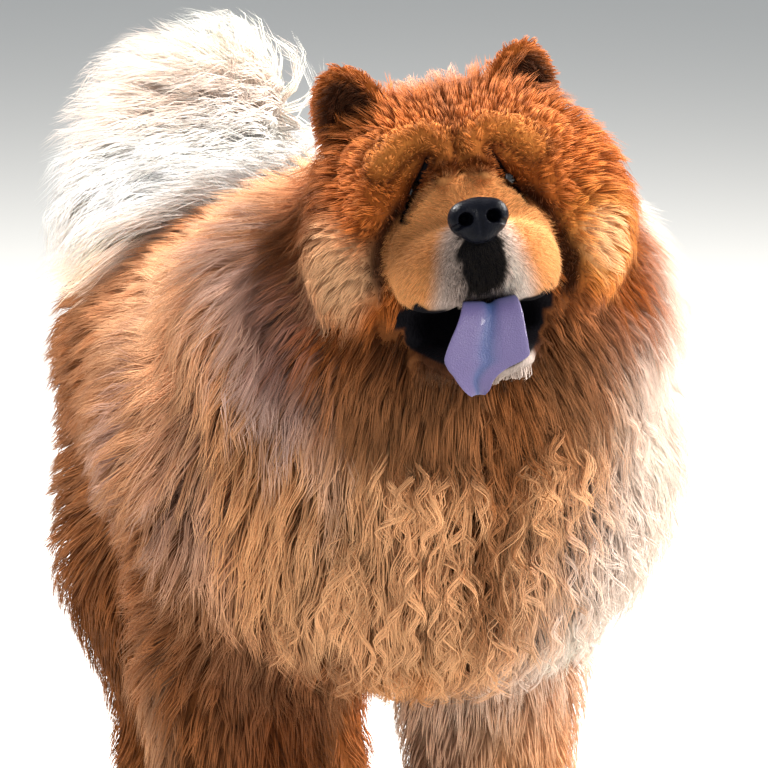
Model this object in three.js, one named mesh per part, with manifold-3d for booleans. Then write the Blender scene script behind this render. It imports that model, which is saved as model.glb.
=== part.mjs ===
// A standing chow chow, life size, in millimetres: +Z is up, the dog faces -Y and its left side is +X.
// The solids reach out to the tips of the coat. The flesh is modelled whole, as lofts joined together,
// and then parted with thin cuts into head, neck, trunk, legs and paws.
import * as THREE from 'three';
import { LoftGeometry } from 'three/addons/geometries/LoftGeometry.js';
import { mergeVertices } from 'three/addons/utils/BufferGeometryUtils.js';
import Module from 'manifold-3d';

const wasm = await Module();
wasm.setup();

// Driving dimensions
const CUT = 0.6; // width of the thin cuts between neighbouring pieces
const WITHERS = 570; // height of the back over the shoulders, coat included
const RUFF_HALF_WIDTH = 224; // the widest place of the coat, across the shoulders
const FORE_SPREAD = 96; // each forepaw's distance from the middle of the chest
const HIND_SPREAD = 68; // each hind paw's distance from the middle of the hips
const HIP_SHIFT = 30; // the hindquarters stand this far to the dog's left, as the spine bends a little
const FORE_Y = -165; // where the forelegs stand
const HIND_Y = 215; // where the hind paws stand
const PAW_WIDTH = 88;
const WRIST = 48; // height of the cut between a paw and its leg
const LEG_TOP = 222; // height of the cut between a foreleg and the chest
const HOCK = 150; // height of the cut between a hind leg and its thigh
const STIFLE = 262; // height of the cut between a thigh and the loin
const TOE_SPACING = 19;
const EYE_RADIUS = 11.5;
const HEAD_CENTRE = [-2, -336, 588]; // middle of the skull
const HEAD_TURN = -13; // degrees: turned a little to its right
const HEAD_RAISE = 9; // degrees: the nose is lifted
const HEAD_LEAN = -7; // degrees: the right ear is the lower one

// Colours of the coat and the bare skin
const coat = (hex) => new THREE.MeshStandardMaterial({ color: hex, roughness: 0.9, metalness: 0 });
const RED_COAT = coat(0xa9602c);
const PALE_COAT = coat(0xe2c6a4);
const FACE_COAT = coat(0xb4652c);
const NOSE_SKIN = new THREE.MeshStandardMaterial({ color: 0x15151b, roughness: 0.4, metalness: 0 });
const TONGUE_SKIN = new THREE.MeshStandardMaterial({ color: 0x8079b4, roughness: 0.45, metalness: 0 });
const EYE_SURFACE = new THREE.MeshStandardMaterial({ color: 0x1b0f09, roughness: 0.1, metalness: 0 });
const CLAW_HORN = new THREE.MeshStandardMaterial({ color: 0x1d1a1a, roughness: 0.45, metalness: 0 });

const vec = (p) => new THREE.Vector3(...p);

// A closed three.js geometry as a solid that can be joined and cut.
function solid(geometry) {
  const bare = new THREE.BufferGeometry();
  bare.setAttribute('position', geometry.attributes.position);
  bare.setIndex(geometry.index);
  const merged = mergeVertices(bare, 1e-3);
  const vertProperties = merged.attributes.position.array;
  const triVerts = new Uint32Array(merged.index.array);
  return new wasm.Manifold(new wasm.Mesh({ numProp: 3, vertProperties, triVerts }));
}

// The largest body of a solid, without the crumbs that a cut can leave.
function largest(shape) {
  return shape.decompose().reduce((best, body) => (body.volume() > best.volume() ? body : best));
}

function mesh(name, shape, material) {
  const { vertProperties, triVerts } = largest(shape).getMesh();
  const geometry = new THREE.BufferGeometry();
  geometry.setAttribute('position', new THREE.BufferAttribute(vertProperties, 3));
  geometry.setIndex(new THREE.BufferAttribute(triVerts, 1));
  geometry.computeVertexNormals();
  const made = new THREE.Mesh(geometry, material);
  made.name = name;
  return made;
}

const union = (...shapes) => shapes.reduce((all, shape) => all.add(shape));

const smooth = (points) => new THREE.CatmullRomCurve3(points, false, 'catmullrom', 0.5);

// A number that runs smoothly through one size of the stations, at t from 0 to 1.
function sizeAt(stations, key, t) {
  const points = stations.map((station) => new THREE.Vector3(station[key], 0, 0));
  return smooth(points).getPoint(t).x;
}

// A loft through stations along a spine. Each station has its centre, its half width, and how far it
// reaches above and below the centre (behind and in front of it, on a leg). 'grow' makes it larger all round.
function loft(stations, { sides, steps, grow = 0 }) {
  const spine = smooth(stations.map((station) => vec(station.at)));
  const sections = [];
  for (let i = 0; i <= steps; i++) {
    const t = i / steps;
    const centre = spine.getPoint(t);
    const along = spine.getTangent(t);
    const side = new THREE.Vector3(1, 0, 0).addScaledVector(along, -along.x).normalize();
    const top = new THREE.Vector3().crossVectors(side, along);
    const wide = sizeAt(stations, 'wide', t) + grow;
    const up = sizeAt(stations, 'up', t) + grow;
    const down = sizeAt(stations, 'down', t) + grow;
    const section = [];
    for (let j = 0; j < sides; j++) {
      const angle = (j / sides) * 2 * Math.PI;
      const rise = Math.sin(angle);
      const point = centre.clone().addScaledVector(side, -wide * Math.cos(angle));
      section.push(point.addScaledVector(top, rise * (rise > 0 ? up : down)));
    }
    sections.push(section);
  }
  return solid(new LoftGeometry(sections, { capStart: true, capEnd: true }));
}

function ellipsoid(centre, radii, around, down) {
  const ball = new THREE.SphereGeometry(1, around, down);
  ball.scale(...radii);
  ball.translate(...centre);
  return solid(ball);
}

// A block between two corners, used to cut with.
function block(low, high, grow = 0) {
  const size = vec(high).sub(vec(low)).addScalar(2 * grow);
  const box = new THREE.BoxGeometry(size.x, size.y, size.z);
  const middle = vec(high).add(vec(low)).multiplyScalar(0.5);
  box.translate(middle.x, middle.y, middle.z);
  return solid(box);
}

// The head's own frame: x to its left, y backwards and z up, from the middle of the skull.
const degrees = THREE.MathUtils.degToRad;
const headMatrix = new THREE.Matrix4()
  .makeTranslation(...HEAD_CENTRE)
  .multiply(new THREE.Matrix4().makeRotationZ(degrees(HEAD_TURN)))
  .multiply(new THREE.Matrix4().makeRotationX(degrees(-HEAD_RAISE)))
  .multiply(new THREE.Matrix4().makeRotationY(degrees(HEAD_LEAN)));
const onHead = (shape) => shape.transform(headMatrix.elements);

// Trunk, from the curly front of the chest along the spine to the buttocks
const trunk = (grow = 0) => loft(
  [
    { at: [4, -366, 378], wide: 62, up: 66, down: 74 },
    { at: [6, -348, 378], wide: 124, up: 112, down: 120 },
    { at: [12, -292, 380], wide: 184, up: 162, down: 156 },
    { at: [16, -205, 385], wide: RUFF_HALF_WIDTH, up: WITHERS - 385, down: 168 },
    { at: [14, -105, 392], wide: 208, up: WITHERS - 394, down: 160 },
    { at: [16, 0, 398], wide: 184, up: 160, down: 148 },
    { at: [20, 90, 398], wide: 176, up: 157, down: 144 },
    { at: [26, 170, 394], wide: 172, up: 154, down: 148 },
    { at: [HIP_SHIFT, 240, 384], wide: 150, up: 136, down: 142 },
    { at: [HIP_SHIFT, 288, 376], wide: 106, up: 98, down: 116 },
    { at: [HIP_SHIFT, 308, 372], wide: 48, up: 50, down: 66 },
  ],
  { sides: 18, steps: 14, grow },
);

// Neck and ruff, from the withers to the back of the skull
const neck = (grow = 0) => loft(
  [
    { at: [14, -90, 470], wide: 120, up: 70, down: 80 },
    { at: [14, -160, 484], wide: 180, up: 116, down: 120 },
    { at: [12, -225, 492], wide: 199, up: 164, down: 130 },
    { at: [9, -285, 512], wide: 186, up: 180, down: 120 },
    { at: [7, -325, 536], wide: 161, up: 162, down: 108 },
    { at: [0, -350, 550], wide: 120, up: 106, down: 88 },
  ],
  { sides: 16, steps: 8, grow },
);

// Skull with the brows and cheek ruff, in the head's frame
const skull = (grow = 0) => loft(
  [
    { at: [10, 92, 6], wide: 84, up: 84, down: 78 },
    { at: [10, 60, 2], wide: 121, up: 112, down: 110 },
    { at: [8, 15, -6], wide: 128, up: 119, down: 108 },
    { at: [4, -30, -8], wide: 119, up: 101, down: 100 },
    { at: [0, -62, -6], wide: 88, up: 66, down: 84 },
    { at: [0, -80, -10], wide: 55, up: 36, down: 60 },
  ],
  { sides: 16, steps: 8, grow },
);

// Upper muzzle with its padded flews, to just behind the nose
const muzzle = union(
  loft(
    [
      { at: [0, -50, -32], wide: 60, up: 46, down: 40 },
      { at: [0, -80, -32], wide: 60, up: 45, down: 34 },
      { at: [0, -105, -30], wide: 55, up: 40, down: 27 },
      { at: [0, -122, -27], wide: 42, up: 30, down: 25 },
      { at: [0, -131, -24], wide: 24, up: 18, down: 16 },
    ],
    { sides: 14, steps: 6 },
  ),
  ellipsoid([-32, -86, -42], [29, 36, 29], 10, 7),
  ellipsoid([32, -86, -42], [29, 36, 29], 10, 7),
);

// Lower jaw, dropped open
const jaw = loft(
  [
    { at: [0, -25, -84], wide: 54, up: 26, down: 24 },
    { at: [0, -60, -96], wide: 48, up: 17, down: 20 },
    { at: [0, -88, -104], wide: 40, up: 14, down: 17 },
    { at: [0, -103, -107], wide: 26, up: 10, down: 12 },
  ],
  { sides: 12, steps: 6 },
);

// The open mouth between flews and jaw, with the gap in front of it
const mouth = union(
  ellipsoid([0, -66, -75], [43, 46, 13], 10, 6),
  ellipsoid([0, -110, -76], [31, 34, 18], 10, 6),
);

// Tongue, from inside the mouth out over the lower lip and down
const TONGUE = [
  { at: [-1, -38, -74], wide: 22, up: 4, down: 4 },
  { at: [-2, -70, -74], wide: 24, up: 4, down: 4 },
  { at: [-3, -100, -72], wide: 25, up: 4, down: 4 },
  { at: [-4, -121, -80], wide: 27, up: 4, down: 4 },
  { at: [-6, -127, -100], wide: 26, up: 4, down: 4 },
  { at: [-10, -128, -122], wide: 13, up: 3, down: 3 },
];
const tongueOptions = { sides: 10, steps: 8 };

// Nose leather with two nostrils
function nose(grow = 0) {
  const pad = ellipsoid([0, -131, -4], [20 + grow, 13 + grow, 15.5 + grow], 12, 8);
  if (grow) return pad;
  const nostrils = [-9.5, 9.5].map((x) => ellipsoid([x, -143, -4], [4.6, 7, 5], 8, 6));
  return pad.subtract(union(...nostrils));
}

// Eyeballs, deep under the brows, and the slit between the lids of each
const EYE_X = 34;
const EYE_Y = -52;
const EYE_Z = 19;
function eye(side, grow = 0) {
  const radii = Array(3).fill(EYE_RADIUS + grow);
  return ellipsoid([side * EYE_X, EYE_Y, EYE_Z], radii, 10, 7);
}
const eyeSlit = (side) => ellipsoid([side * (EYE_X - 3), EYE_Y - 22, EYE_Z - 2], [5, 34, 8], 8, 6);

// A small thick ear: a rounded triangle, hollowed in front and tipped forward
function ear(side) {
  const EAR_HALF = 33;
  const EAR_HEIGHT = 78;
  const outline = new THREE.Shape();
  outline.moveTo(-EAR_HALF, 0);
  outline.bezierCurveTo(-EAR_HALF, 0.45 * EAR_HEIGHT, -16, EAR_HEIGHT, 0, EAR_HEIGHT);
  outline.bezierCurveTo(16, EAR_HEIGHT, EAR_HALF, 0.45 * EAR_HEIGHT, EAR_HALF, 0);
  const plate = new THREE.ExtrudeGeometry(outline, {
    depth: 12,
    curveSegments: 6,
    bevelThickness: 5,
    bevelSize: 4,
    bevelOffset: -4,
    bevelSegments: 2,
  });
  const cup = ellipsoid([0, 22, 24], [18, 30, 15], 10, 6);
  const place = new THREE.Matrix4()
    .makeTranslation(side * 50, 12, 42)
    .multiply(new THREE.Matrix4().makeRotationY(degrees(side * 11)))
    .multiply(new THREE.Matrix4().makeRotationZ(degrees(side * 16)))
    .multiply(new THREE.Matrix4().makeRotationX(degrees(90 + 8)));
  return onHead(solid(plate).subtract(cup).transform(place.elements));
}

// Legs: 'up' is behind the bone and 'down' in front of it
function foreleg(side) {
  const x = side * FORE_SPREAD;
  return loft(
    [
      { at: [x * 0.96, FORE_Y + 15, 330], wide: 88, up: 84, down: 84 },
      { at: [x, FORE_Y + 13, 262], wide: 84, up: 84, down: 76 },
      { at: [x, FORE_Y + 9, 200], wide: 79, up: 76, down: 66 },
      { at: [x, FORE_Y + 5, 140], wide: 72, up: 68, down: 58 },
      { at: [x, FORE_Y + 1, 90], wide: 58, up: 56, down: 50 },
      { at: [x, FORE_Y - 3, 52], wide: 46, up: 46, down: 44 },
      { at: [x, FORE_Y - 7, 24], wide: 43, up: 40, down: 44 },
      { at: [x, FORE_Y - 7, -14], wide: 41, up: 38, down: 42 },
    ],
    { sides: 12, steps: 9 },
  );
}

function hindleg(side) {
  const x = HIP_SHIFT + side * HIND_SPREAD;
  return loft(
    [
      { at: [x + side * 14, HIND_Y - 59, 340], wide: 88, up: 112, down: 100 },
      { at: [x + side * 16, HIND_Y - 47, 270], wide: 92, up: 110, down: 88 },
      { at: [x + side * 10, HIND_Y - 29, 205], wide: 80, up: 96, down: 68 },
      { at: [x + side * 3, HIND_Y - 5, 150], wide: 60, up: 68, down: 52 },
      { at: [x, HIND_Y + 5, 108], wide: 45, up: 48, down: 42 },
      { at: [x, HIND_Y + 2, 60], wide: 40, up: 40, down: 38 },
      { at: [x, HIND_Y - 6, 24], wide: 40, up: 38, down: 44 },
      { at: [x, HIND_Y - 8, -14], wide: 38, up: 36, down: 42 },
    ],
    { sides: 12, steps: 9 },
  );
}

// A claw that curves forward and down from a toe, ending just above the ground
function claw(toe, grow = 0) {
  const [x, y] = toe;
  return loft(
    [
      { at: [x, y + 6, 20], wide: 3.6, up: 4, down: 4 },
      { at: [x, y - 8, 17], wide: 3.4, up: 3.8, down: 3.8 },
      { at: [x, y - 17, 9.5], wide: 2, up: 2.2, down: 2.2 },
      { at: [x, y - 20, 5], wide: 0.9, up: 0.9, down: 0.9 },
    ],
    { sides: 5, steps: 2, grow },
  );
}

// The four toes of a paw stand in an arch in front of its middle
function toePlaces(x, y) {
  return [-1.5, -0.5, 0.5, 1.5].map((step) => [x + step * TOE_SPACING, y - 44 + Math.abs(step) * 7]);
}

const PAWS = [
  { name: 'forepaw_right', x: -FORE_SPREAD, y: FORE_Y - 8 },
  { name: 'forepaw_left', x: FORE_SPREAD, y: FORE_Y - 8 },
  { name: 'hindpaw_right', x: HIP_SHIFT - HIND_SPREAD, y: HIND_Y - 12 },
  { name: 'hindpaw_left', x: HIP_SHIFT + HIND_SPREAD, y: HIND_Y - 12 },
];
const toes = PAWS.flatMap((paw) => toePlaces(paw.x, paw.y));
const toePads = toes.map(([x, y]) => ellipsoid([x, y + 8, 14], [PAW_WIDTH / 7, 24, 19], 6, 5));

// The flesh, whole, standing on flats at one level
let flesh = union(
  trunk(),
  neck(),
  onHead(union(skull(), muzzle, jaw)),
  ...[-1, 1].flatMap((side) => [foreleg(side), hindleg(side)]),
  ...toePads,
);
flesh = flesh.intersect(block([-600, -800, 0], [600, 600, 1000]));
flesh = flesh.subtract(onHead(mouth));
flesh = flesh.subtract(onHead(loft(TONGUE, { ...tongueOptions, grow: CUT })));
flesh = flesh.subtract(onHead(nose(CUT)));
for (const side of [-1, 1]) {
  flesh = flesh.subtract(onHead(eye(side, CUT)));
  flesh = flesh.subtract(onHead(eyeSlit(side)));
}
const claws = toes.map((toe) => claw(toe));
flesh = flesh.subtract(union(...toes.map((toe) => claw(toe, CUT))));

// Each region is a block in the dog's frame or the head's. What lies in it becomes that piece.
const REGIONS = [
  { name: 'muzzle', head: true, low: [-70, -160, -77], high: [70, -62, 16], material: FACE_COAT },
  { name: 'lower_jaw', head: true, low: [-58, -160, -132], high: [58, -34, -77], material: FACE_COAT },
  { name: 'head', head: true, low: [-200, -160, -124], high: [200, 62, 200], material: FACE_COAT },
  { name: 'neck', low: [-400, -420, 440], high: [400, -60, 900], material: RED_COAT },
  ...PAWS.map(({ name, x, y }) => ({
    name,
    low: [x - 62, y - 100, -5],
    high: [x + 62, y + 90, WRIST],
    material: RED_COAT,
  })),
  { name: 'foreleg_right', low: [-260, -300, 0], high: [-8, -30, LEG_TOP], material: RED_COAT },
  { name: 'foreleg_left', low: [8, -300, 0], high: [260, -30, LEG_TOP], material: RED_COAT },
  { name: 'hindleg_right', low: [-260, 30, 0], high: [HIP_SHIFT - 4, 400, HOCK], material: RED_COAT },
  { name: 'hindleg_left', low: [HIP_SHIFT + 4, 30, 0], high: [320, 400, HOCK], material: RED_COAT },
  { name: 'thigh_right', low: [-260, 30, HOCK], high: [HIP_SHIFT - 4, 400, STIFLE], material: RED_COAT },
  { name: 'thigh_left', low: [HIP_SHIFT + 4, 30, HOCK], high: [320, 400, STIFLE], material: RED_COAT },
  { name: 'chest', low: [-400, -420, 0], high: [400, -60, 700], material: RED_COAT },
  { name: 'rump', low: [-400, 120, 0], high: [400, 420, 700], material: RED_COAT },
];

const root = new THREE.Group();
for (const { name, head, low, high, material } of REGIONS) {
  const place = head ? onHead : (shape) => shape;
  root.add(mesh(name, flesh.intersect(place(block(low, high))), material));
  flesh = flesh.subtract(place(block(low, high, CUT)));
}
root.add(mesh('loin', flesh, RED_COAT));

// Tail, set high, curled forward over the back with its plume spread
const TAIL = [
  { at: [HIP_SHIFT, 216, 470], wide: 44, up: 40, down: 36 },
  { at: [HIP_SHIFT, 262, 512], wide: 62, up: 48, down: 42 },
  { at: [HIP_SHIFT - 2, 262, 560], wide: 78, up: 52, down: 46 },
  { at: [HIP_SHIFT - 20, 212, 582], wide: 86, up: 52, down: 60 },
  { at: [HIP_SHIFT - 58, 152, 554], wide: 90, up: 54, down: 60 },
  { at: [HIP_SHIFT - 100, 100, 512], wide: 84, up: 54, down: 50 },
  { at: [HIP_SHIFT - 130, 70, 474], wide: 50, up: 34, down: 34 },
];
const tail = loft(TAIL, { sides: 16, steps: 12 }).subtract(trunk(CUT)).subtract(neck(CUT));
const tailRoot = block([-300, 195, 400], [300, 400, 575]);
root.add(mesh('tail_base', tail.intersect(tailRoot), RED_COAT));
root.add(mesh('tail_plume', tail.subtract(block([-300, 195 - CUT, 400], [300, 400, 575 + CUT])), PALE_COAT));

root.add(mesh('nose', onHead(nose()), NOSE_SKIN));
root.add(mesh('tongue', onHead(loft(TONGUE, tongueOptions)), TONGUE_SKIN));
for (const [side, word] of [[-1, 'right'], [1, 'left']]) {
  root.add(mesh(`eye_${word}`, onHead(eye(side)), EYE_SURFACE));
  const bedded = ear(side).subtract(onHead(skull(CUT))).subtract(neck(CUT));
  root.add(mesh(`ear_${word}`, bedded, FACE_COAT));
}
PAWS.forEach((paw, p) => {
  for (let i = 0; i < 4; i++) {
    root.add(mesh(`claw_${paw.name}_${i + 1}`, claws[4 * p + i], CLAW_HORN));
  }
});

// The origin is under the middle of the whole dog, at the level of its soles
const box = new THREE.Box3().setFromObject(root);
const centre = box.getCenter(new THREE.Vector3());
root.position.set(-centre.x, -centre.y, -box.min.z);

export default root;
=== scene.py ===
# %% [markdown]
# # A chow chow, standing, life size
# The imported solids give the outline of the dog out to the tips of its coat. This lesson puts one skin
# inside them, with a finely shaped face, and then grows the coat on that skin as thousands of thin solid
# locks. Everything is in metres, +Z is up, the dog faces -Y and its left side is +X.

# %% Load the frame
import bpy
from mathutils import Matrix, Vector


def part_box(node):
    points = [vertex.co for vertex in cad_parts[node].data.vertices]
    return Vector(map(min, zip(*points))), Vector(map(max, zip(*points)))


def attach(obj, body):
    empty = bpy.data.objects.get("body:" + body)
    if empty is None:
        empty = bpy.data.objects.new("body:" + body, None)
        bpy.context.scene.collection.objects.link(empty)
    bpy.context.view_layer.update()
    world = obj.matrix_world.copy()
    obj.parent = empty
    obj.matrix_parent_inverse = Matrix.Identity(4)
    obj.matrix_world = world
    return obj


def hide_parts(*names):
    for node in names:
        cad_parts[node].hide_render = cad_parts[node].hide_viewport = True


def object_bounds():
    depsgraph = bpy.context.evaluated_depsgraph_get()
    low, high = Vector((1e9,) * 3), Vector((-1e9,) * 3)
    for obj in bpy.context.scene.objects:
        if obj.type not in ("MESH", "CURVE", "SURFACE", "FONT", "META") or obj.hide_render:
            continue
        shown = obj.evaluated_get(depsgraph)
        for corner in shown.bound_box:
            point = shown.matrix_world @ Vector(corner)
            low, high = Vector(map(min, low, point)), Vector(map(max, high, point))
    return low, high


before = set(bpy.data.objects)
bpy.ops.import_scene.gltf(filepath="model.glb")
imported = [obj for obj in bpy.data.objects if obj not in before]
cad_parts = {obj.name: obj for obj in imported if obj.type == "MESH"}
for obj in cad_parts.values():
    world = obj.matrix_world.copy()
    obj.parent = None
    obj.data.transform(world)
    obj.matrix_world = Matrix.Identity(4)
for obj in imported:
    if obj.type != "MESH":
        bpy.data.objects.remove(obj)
CAD_BOX = [list(corner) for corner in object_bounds()]
import math
import bmesh
import bpy
import numpy as np
import openvdb
from mathutils import Matrix, Vector, kdtree

print("the solids reach from", CAD_BOX[0], "to", CAD_BOX[1])

# %% [markdown]
# The head is turned, raised and leaning, so it gets its own axes: x to its left, y backwards and z up. The
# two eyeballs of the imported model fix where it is, and the rest of the dog follows from that.

# %% The head's axes and the dog's own frame
HEAD_TURN = math.radians(-13)
HEAD_RAISE = math.radians(9)
HEAD_LEAN = math.radians(-7)
EYE_X = 0.034
EYE_Y = -0.052
EYE_Z = 0.019
EYE_RADIUS = 0.0115
HEAD_IN_DOG = np.array([-0.002, -0.336, 0.588])


def turning(angle, axis):
    return np.array(Matrix.Rotation(angle, 3, axis))


HEAD_AXES = turning(HEAD_TURN, "Z") @ turning(-HEAD_RAISE, "X") @ turning(HEAD_LEAN, "Y")
eye_corners = [corner for side in ("right", "left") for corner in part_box("eye_" + side)]
HEAD_PLACE = np.mean(eye_corners, axis=0) - HEAD_AXES @ np.array([0, EYE_Y, EYE_Z])
DOG_PLACE = HEAD_PLACE - HEAD_IN_DOG


def to_head(points):
    return (points - HEAD_PLACE) @ HEAD_AXES


def from_head(points):
    return np.asarray(points, float) @ HEAD_AXES.T + HEAD_PLACE


print("the skull's middle is at", HEAD_PLACE.round(4), "and the dog is shifted by", DOG_PLACE.round(4))

# %% [markdown]
# The camera stands where the photo was taken: in front of the dog and a little to its right, about four
# metres off, with a long lens. It looks down a little. Its place is worked out from the nose, which fills
# a known spot in the picture.

# %% Camera
PICTURE = 768
FOCAL_PIXELS = 6000
NOSE_PIXEL = (476, 220)
NOSE_IN_DOG = np.array([-0.035, -0.47, 0.605])
VIEW_AZIMUTH = math.radians(-20)
VIEW_HEIGHT = math.radians(11)
VIEW_DISTANCE = 4.0
SENSOR = 36

view_back = np.array([
    math.sin(VIEW_AZIMUTH) * math.cos(VIEW_HEIGHT),
    -math.cos(VIEW_AZIMUTH) * math.cos(VIEW_HEIGHT),
    math.sin(VIEW_HEIGHT),
])
view_right = np.array([math.cos(VIEW_AZIMUTH), math.sin(VIEW_AZIMUTH), 0])
view_up = np.cross(view_back, view_right)
aside = (NOSE_PIXEL[0] - PICTURE / 2) / FOCAL_PIXELS * VIEW_DISTANCE
above = (PICTURE / 2 - NOSE_PIXEL[1]) / FOCAL_PIXELS * VIEW_DISTANCE
camera_place = DOG_PLACE + NOSE_IN_DOG + view_back * VIEW_DISTANCE - view_right * aside - view_up * above

camera_data = bpy.data.cameras.new("camera")
camera_data.sensor_width = SENSOR
camera_data.lens = FOCAL_PIXELS / PICTURE * SENSOR
camera = bpy.data.objects.new("camera", camera_data)
pose = Matrix([[*row] for row in np.stack([view_right, view_up, view_back], 1)]).to_4x4()
pose.translation = Vector(camera_place)
camera.matrix_world = pose
bpy.context.scene.collection.objects.link(camera)
bpy.context.scene.camera = camera
print("camera at", camera_place.round(3), "lens", camera_data.lens)

# %% [markdown]
# Soft shapes are easiest to describe by distance: a function says how far any point is from the surface,
# below zero inside. Two such shapes melt into one another with a rounded join, or one carves the other.
# Flesh, folds and lips are all made from a few of these.

# %% Shapes by distance


def ball(points, centre, radii):
    radii = np.asarray(radii, float)
    near = (points - np.asarray(centre, float)) / radii
    size = np.linalg.norm(near, axis=1)
    steep = np.linalg.norm(near / radii, axis=1)
    return size * (size - 1) / np.maximum(steep, 1e-9)


def rod(points, start, end, thick, thick_end=None):
    start = np.asarray(start, float)
    along = np.asarray(end, float) - start
    t = np.clip((points - start) @ along / (along @ along), 0, 1)
    thin = thick if thick_end is None else thick_end
    return np.linalg.norm(points - start - t[:, None] * along, axis=1) - (thick + (thin - thick) * t)


def melt(a, b, soft):
    h = np.clip(0.5 + 0.5 * (b - a) / soft, 0, 1)
    return b + (a - b) * h - soft * h * (1 - h)


def carve(a, b, soft):
    return -melt(-a, b, soft)


def ease(x, low, high):
    t = np.clip((x - low) / (high - low), 0, 1)
    return t * t * (3 - 2 * t)


def band(points, x=None, y=None, z=None):
    """A share that eases from 0 to 1 between the two numbers given for each axis."""
    share = np.ones(len(points))
    for axis, ends in enumerate((x, y, z)):
        if ends:
            share = share * ease(points[:, axis], *ends)
    return share


def mirrored(points):
    return points * np.array([-1, 1, 1])


# %% [markdown]
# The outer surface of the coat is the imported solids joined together. A grid holds the distance to it, so
# that the skin can be set a coat's depth below it, and so that no lock of hair grows out past it.

# %% The outside of the coat as a grid of distances
CELL = 0.0045
REACH = 14
MARGIN = 0.04
GRID_LOW = np.array(CAD_BOX[0]) - MARGIN
GRID_SIZE = np.ceil((np.array(CAD_BOX[1]) + MARGIN - GRID_LOW) / CELL).astype(int)
GRID_STEP = openvdb.createLinearTransform(CELL)
SMALL_PARTS = ("eye", "claw", "nose", "tongue")
UNDER_COAT = ("eye", "claw", "tongue")
SEAM = 0.001


def mesh_arrays(mesh):
    places = np.empty(len(mesh.vertices) * 3, np.float32)
    mesh.vertices.foreach_get("co", places)
    mesh.calc_loop_triangles()
    corners = np.empty(len(mesh.loop_triangles) * 3, np.int32)
    mesh.loop_triangles.foreach_get("vertices", corners)
    return places.reshape(-1, 3), corners.reshape(-1, 3)


def distance_grid(places, triangles, quads, reach):
    places = np.ascontiguousarray(places, np.float32)
    level = openvdb.FloatGrid.createLevelSetFromPolygons(
        places, triangles=triangles.astype(np.uint32), quads=quads.astype(np.uint32),
        transform=GRID_STEP, halfWidth=reach)
    values = np.full(GRID_SIZE, reach * CELL, np.float32)
    level.copyToArray(values)
    return values


def surface_of(values, level=0.0):
    grid = openvdb.FloatGrid(float(values.max()))
    grid.copyFromArray(values)
    grid.transform = GRID_STEP
    return grid.convertToPolygons(level, 0.0)


def softened(values, rounds):
    for _ in range(rounds):
        for axis in range(3):
            padded = np.pad(values, [(1, 1) if a == axis else (0, 0) for a in range(3)], mode="edge")
            low = np.take(padded, range(0, values.shape[axis]), axis)
            high = np.take(padded, range(2, values.shape[axis] + 2), axis)
            values = 0.5 * values + 0.25 * (low + high)
    return values


NO_QUADS = np.zeros((0, 4), np.uint32)
joined = np.full(GRID_SIZE, 3 * CELL, np.float32)
for name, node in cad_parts.items():
    if not name.startswith(UNDER_COAT):
        places, corners = mesh_arrays(node.data)
        joined = np.minimum(joined, distance_grid(places - GRID_LOW, corners, NO_QUADS, 3))
outside = distance_grid(*surface_of(joined, SEAM), REACH)
COAT = softened(outside, 3)
print("grid", GRID_SIZE, "solid volume", round(float((outside < 0).sum()) * CELL ** 3, 4), "cubic metres")

# %% [markdown]
# Looking a value up between the grid's cells, and the direction in which it grows fastest, is all that
# the hair will need later to know which way is out of the body.

# %% Reading the grids


def lookup(values, points):
    place = np.clip((points - GRID_LOW) / CELL, 0, GRID_SIZE - 1.001)
    low = place.astype(int)
    part = place - low
    total = 0
    for dx in (0, 1):
        for dy in (0, 1):
            for dz in (0, 1):
                near = np.abs(1 - np.array([dx, dy, dz]) - part)
                share = near[:, 0] * near[:, 1] * near[:, 2]
                total = total + share * values[low[:, 0] + dx, low[:, 1] + dy, low[:, 2] + dz]
    return total


def unit(vectors):
    return vectors / np.maximum(np.linalg.norm(vectors, axis=1), 1e-9)[:, None]


def outward(values, points):
    slope = np.empty_like(points)
    for axis in range(3):
        step = np.zeros(3)
        step[axis] = CELL
        slope[:, axis] = lookup(values, points + step) - lookup(values, points - step)
    return unit(slope)


# %% [markdown]
# The coat is deep on the neck, chest, rump and tail, shallow on the legs and shallowest on the face and
# paws. One smooth rule gives its depth everywhere. The dense woolly undercoat can't be seen into, so the
# skin stands for that too.

# %% How deep the coat is
TAIL_LINE = np.array([
    [0.030, 0.216, 0.470], [0.030, 0.262, 0.512], [0.028, 0.262, 0.560], [0.012, 0.212, 0.582],
    [-0.028, 0.152, 0.554], [-0.070, 0.100, 0.512], [-0.100, 0.070, 0.474],
])


def near_tail(dog):
    """How far a point is from the tail's middle line, and which way the line runs there."""
    best = np.full(len(dog), 9.0)
    run = np.zeros((len(dog), 3))
    for i in range(len(TAIL_LINE) - 1):
        step = TAIL_LINE[i + 1] - TAIL_LINE[i]
        t = np.clip((dog - TAIL_LINE[i]) @ step / (step @ step), 0, 1)
        gap = np.linalg.norm(dog - TAIL_LINE[i] - t[:, None] * step, axis=1)
        closer = gap < best
        best = np.where(closer, gap, best)
        run = np.where(closer[:, None], step / np.linalg.norm(step), run)
    return best, run


def tail_share(dog):
    gap, _ = near_tail(dog)
    return ease(gap, 0.11, 0.07) * ease(dog[:, 2], 0.47, 0.53) * ease(dog[:, 1], 0.02, 0.08)


def face_share(head):
    round_face = ease(np.linalg.norm(head * [1, 0.7, 1], axis=1), 0.17, 0.13)
    return ease(head[:, 1], 0.03, -0.03) * round_face


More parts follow.
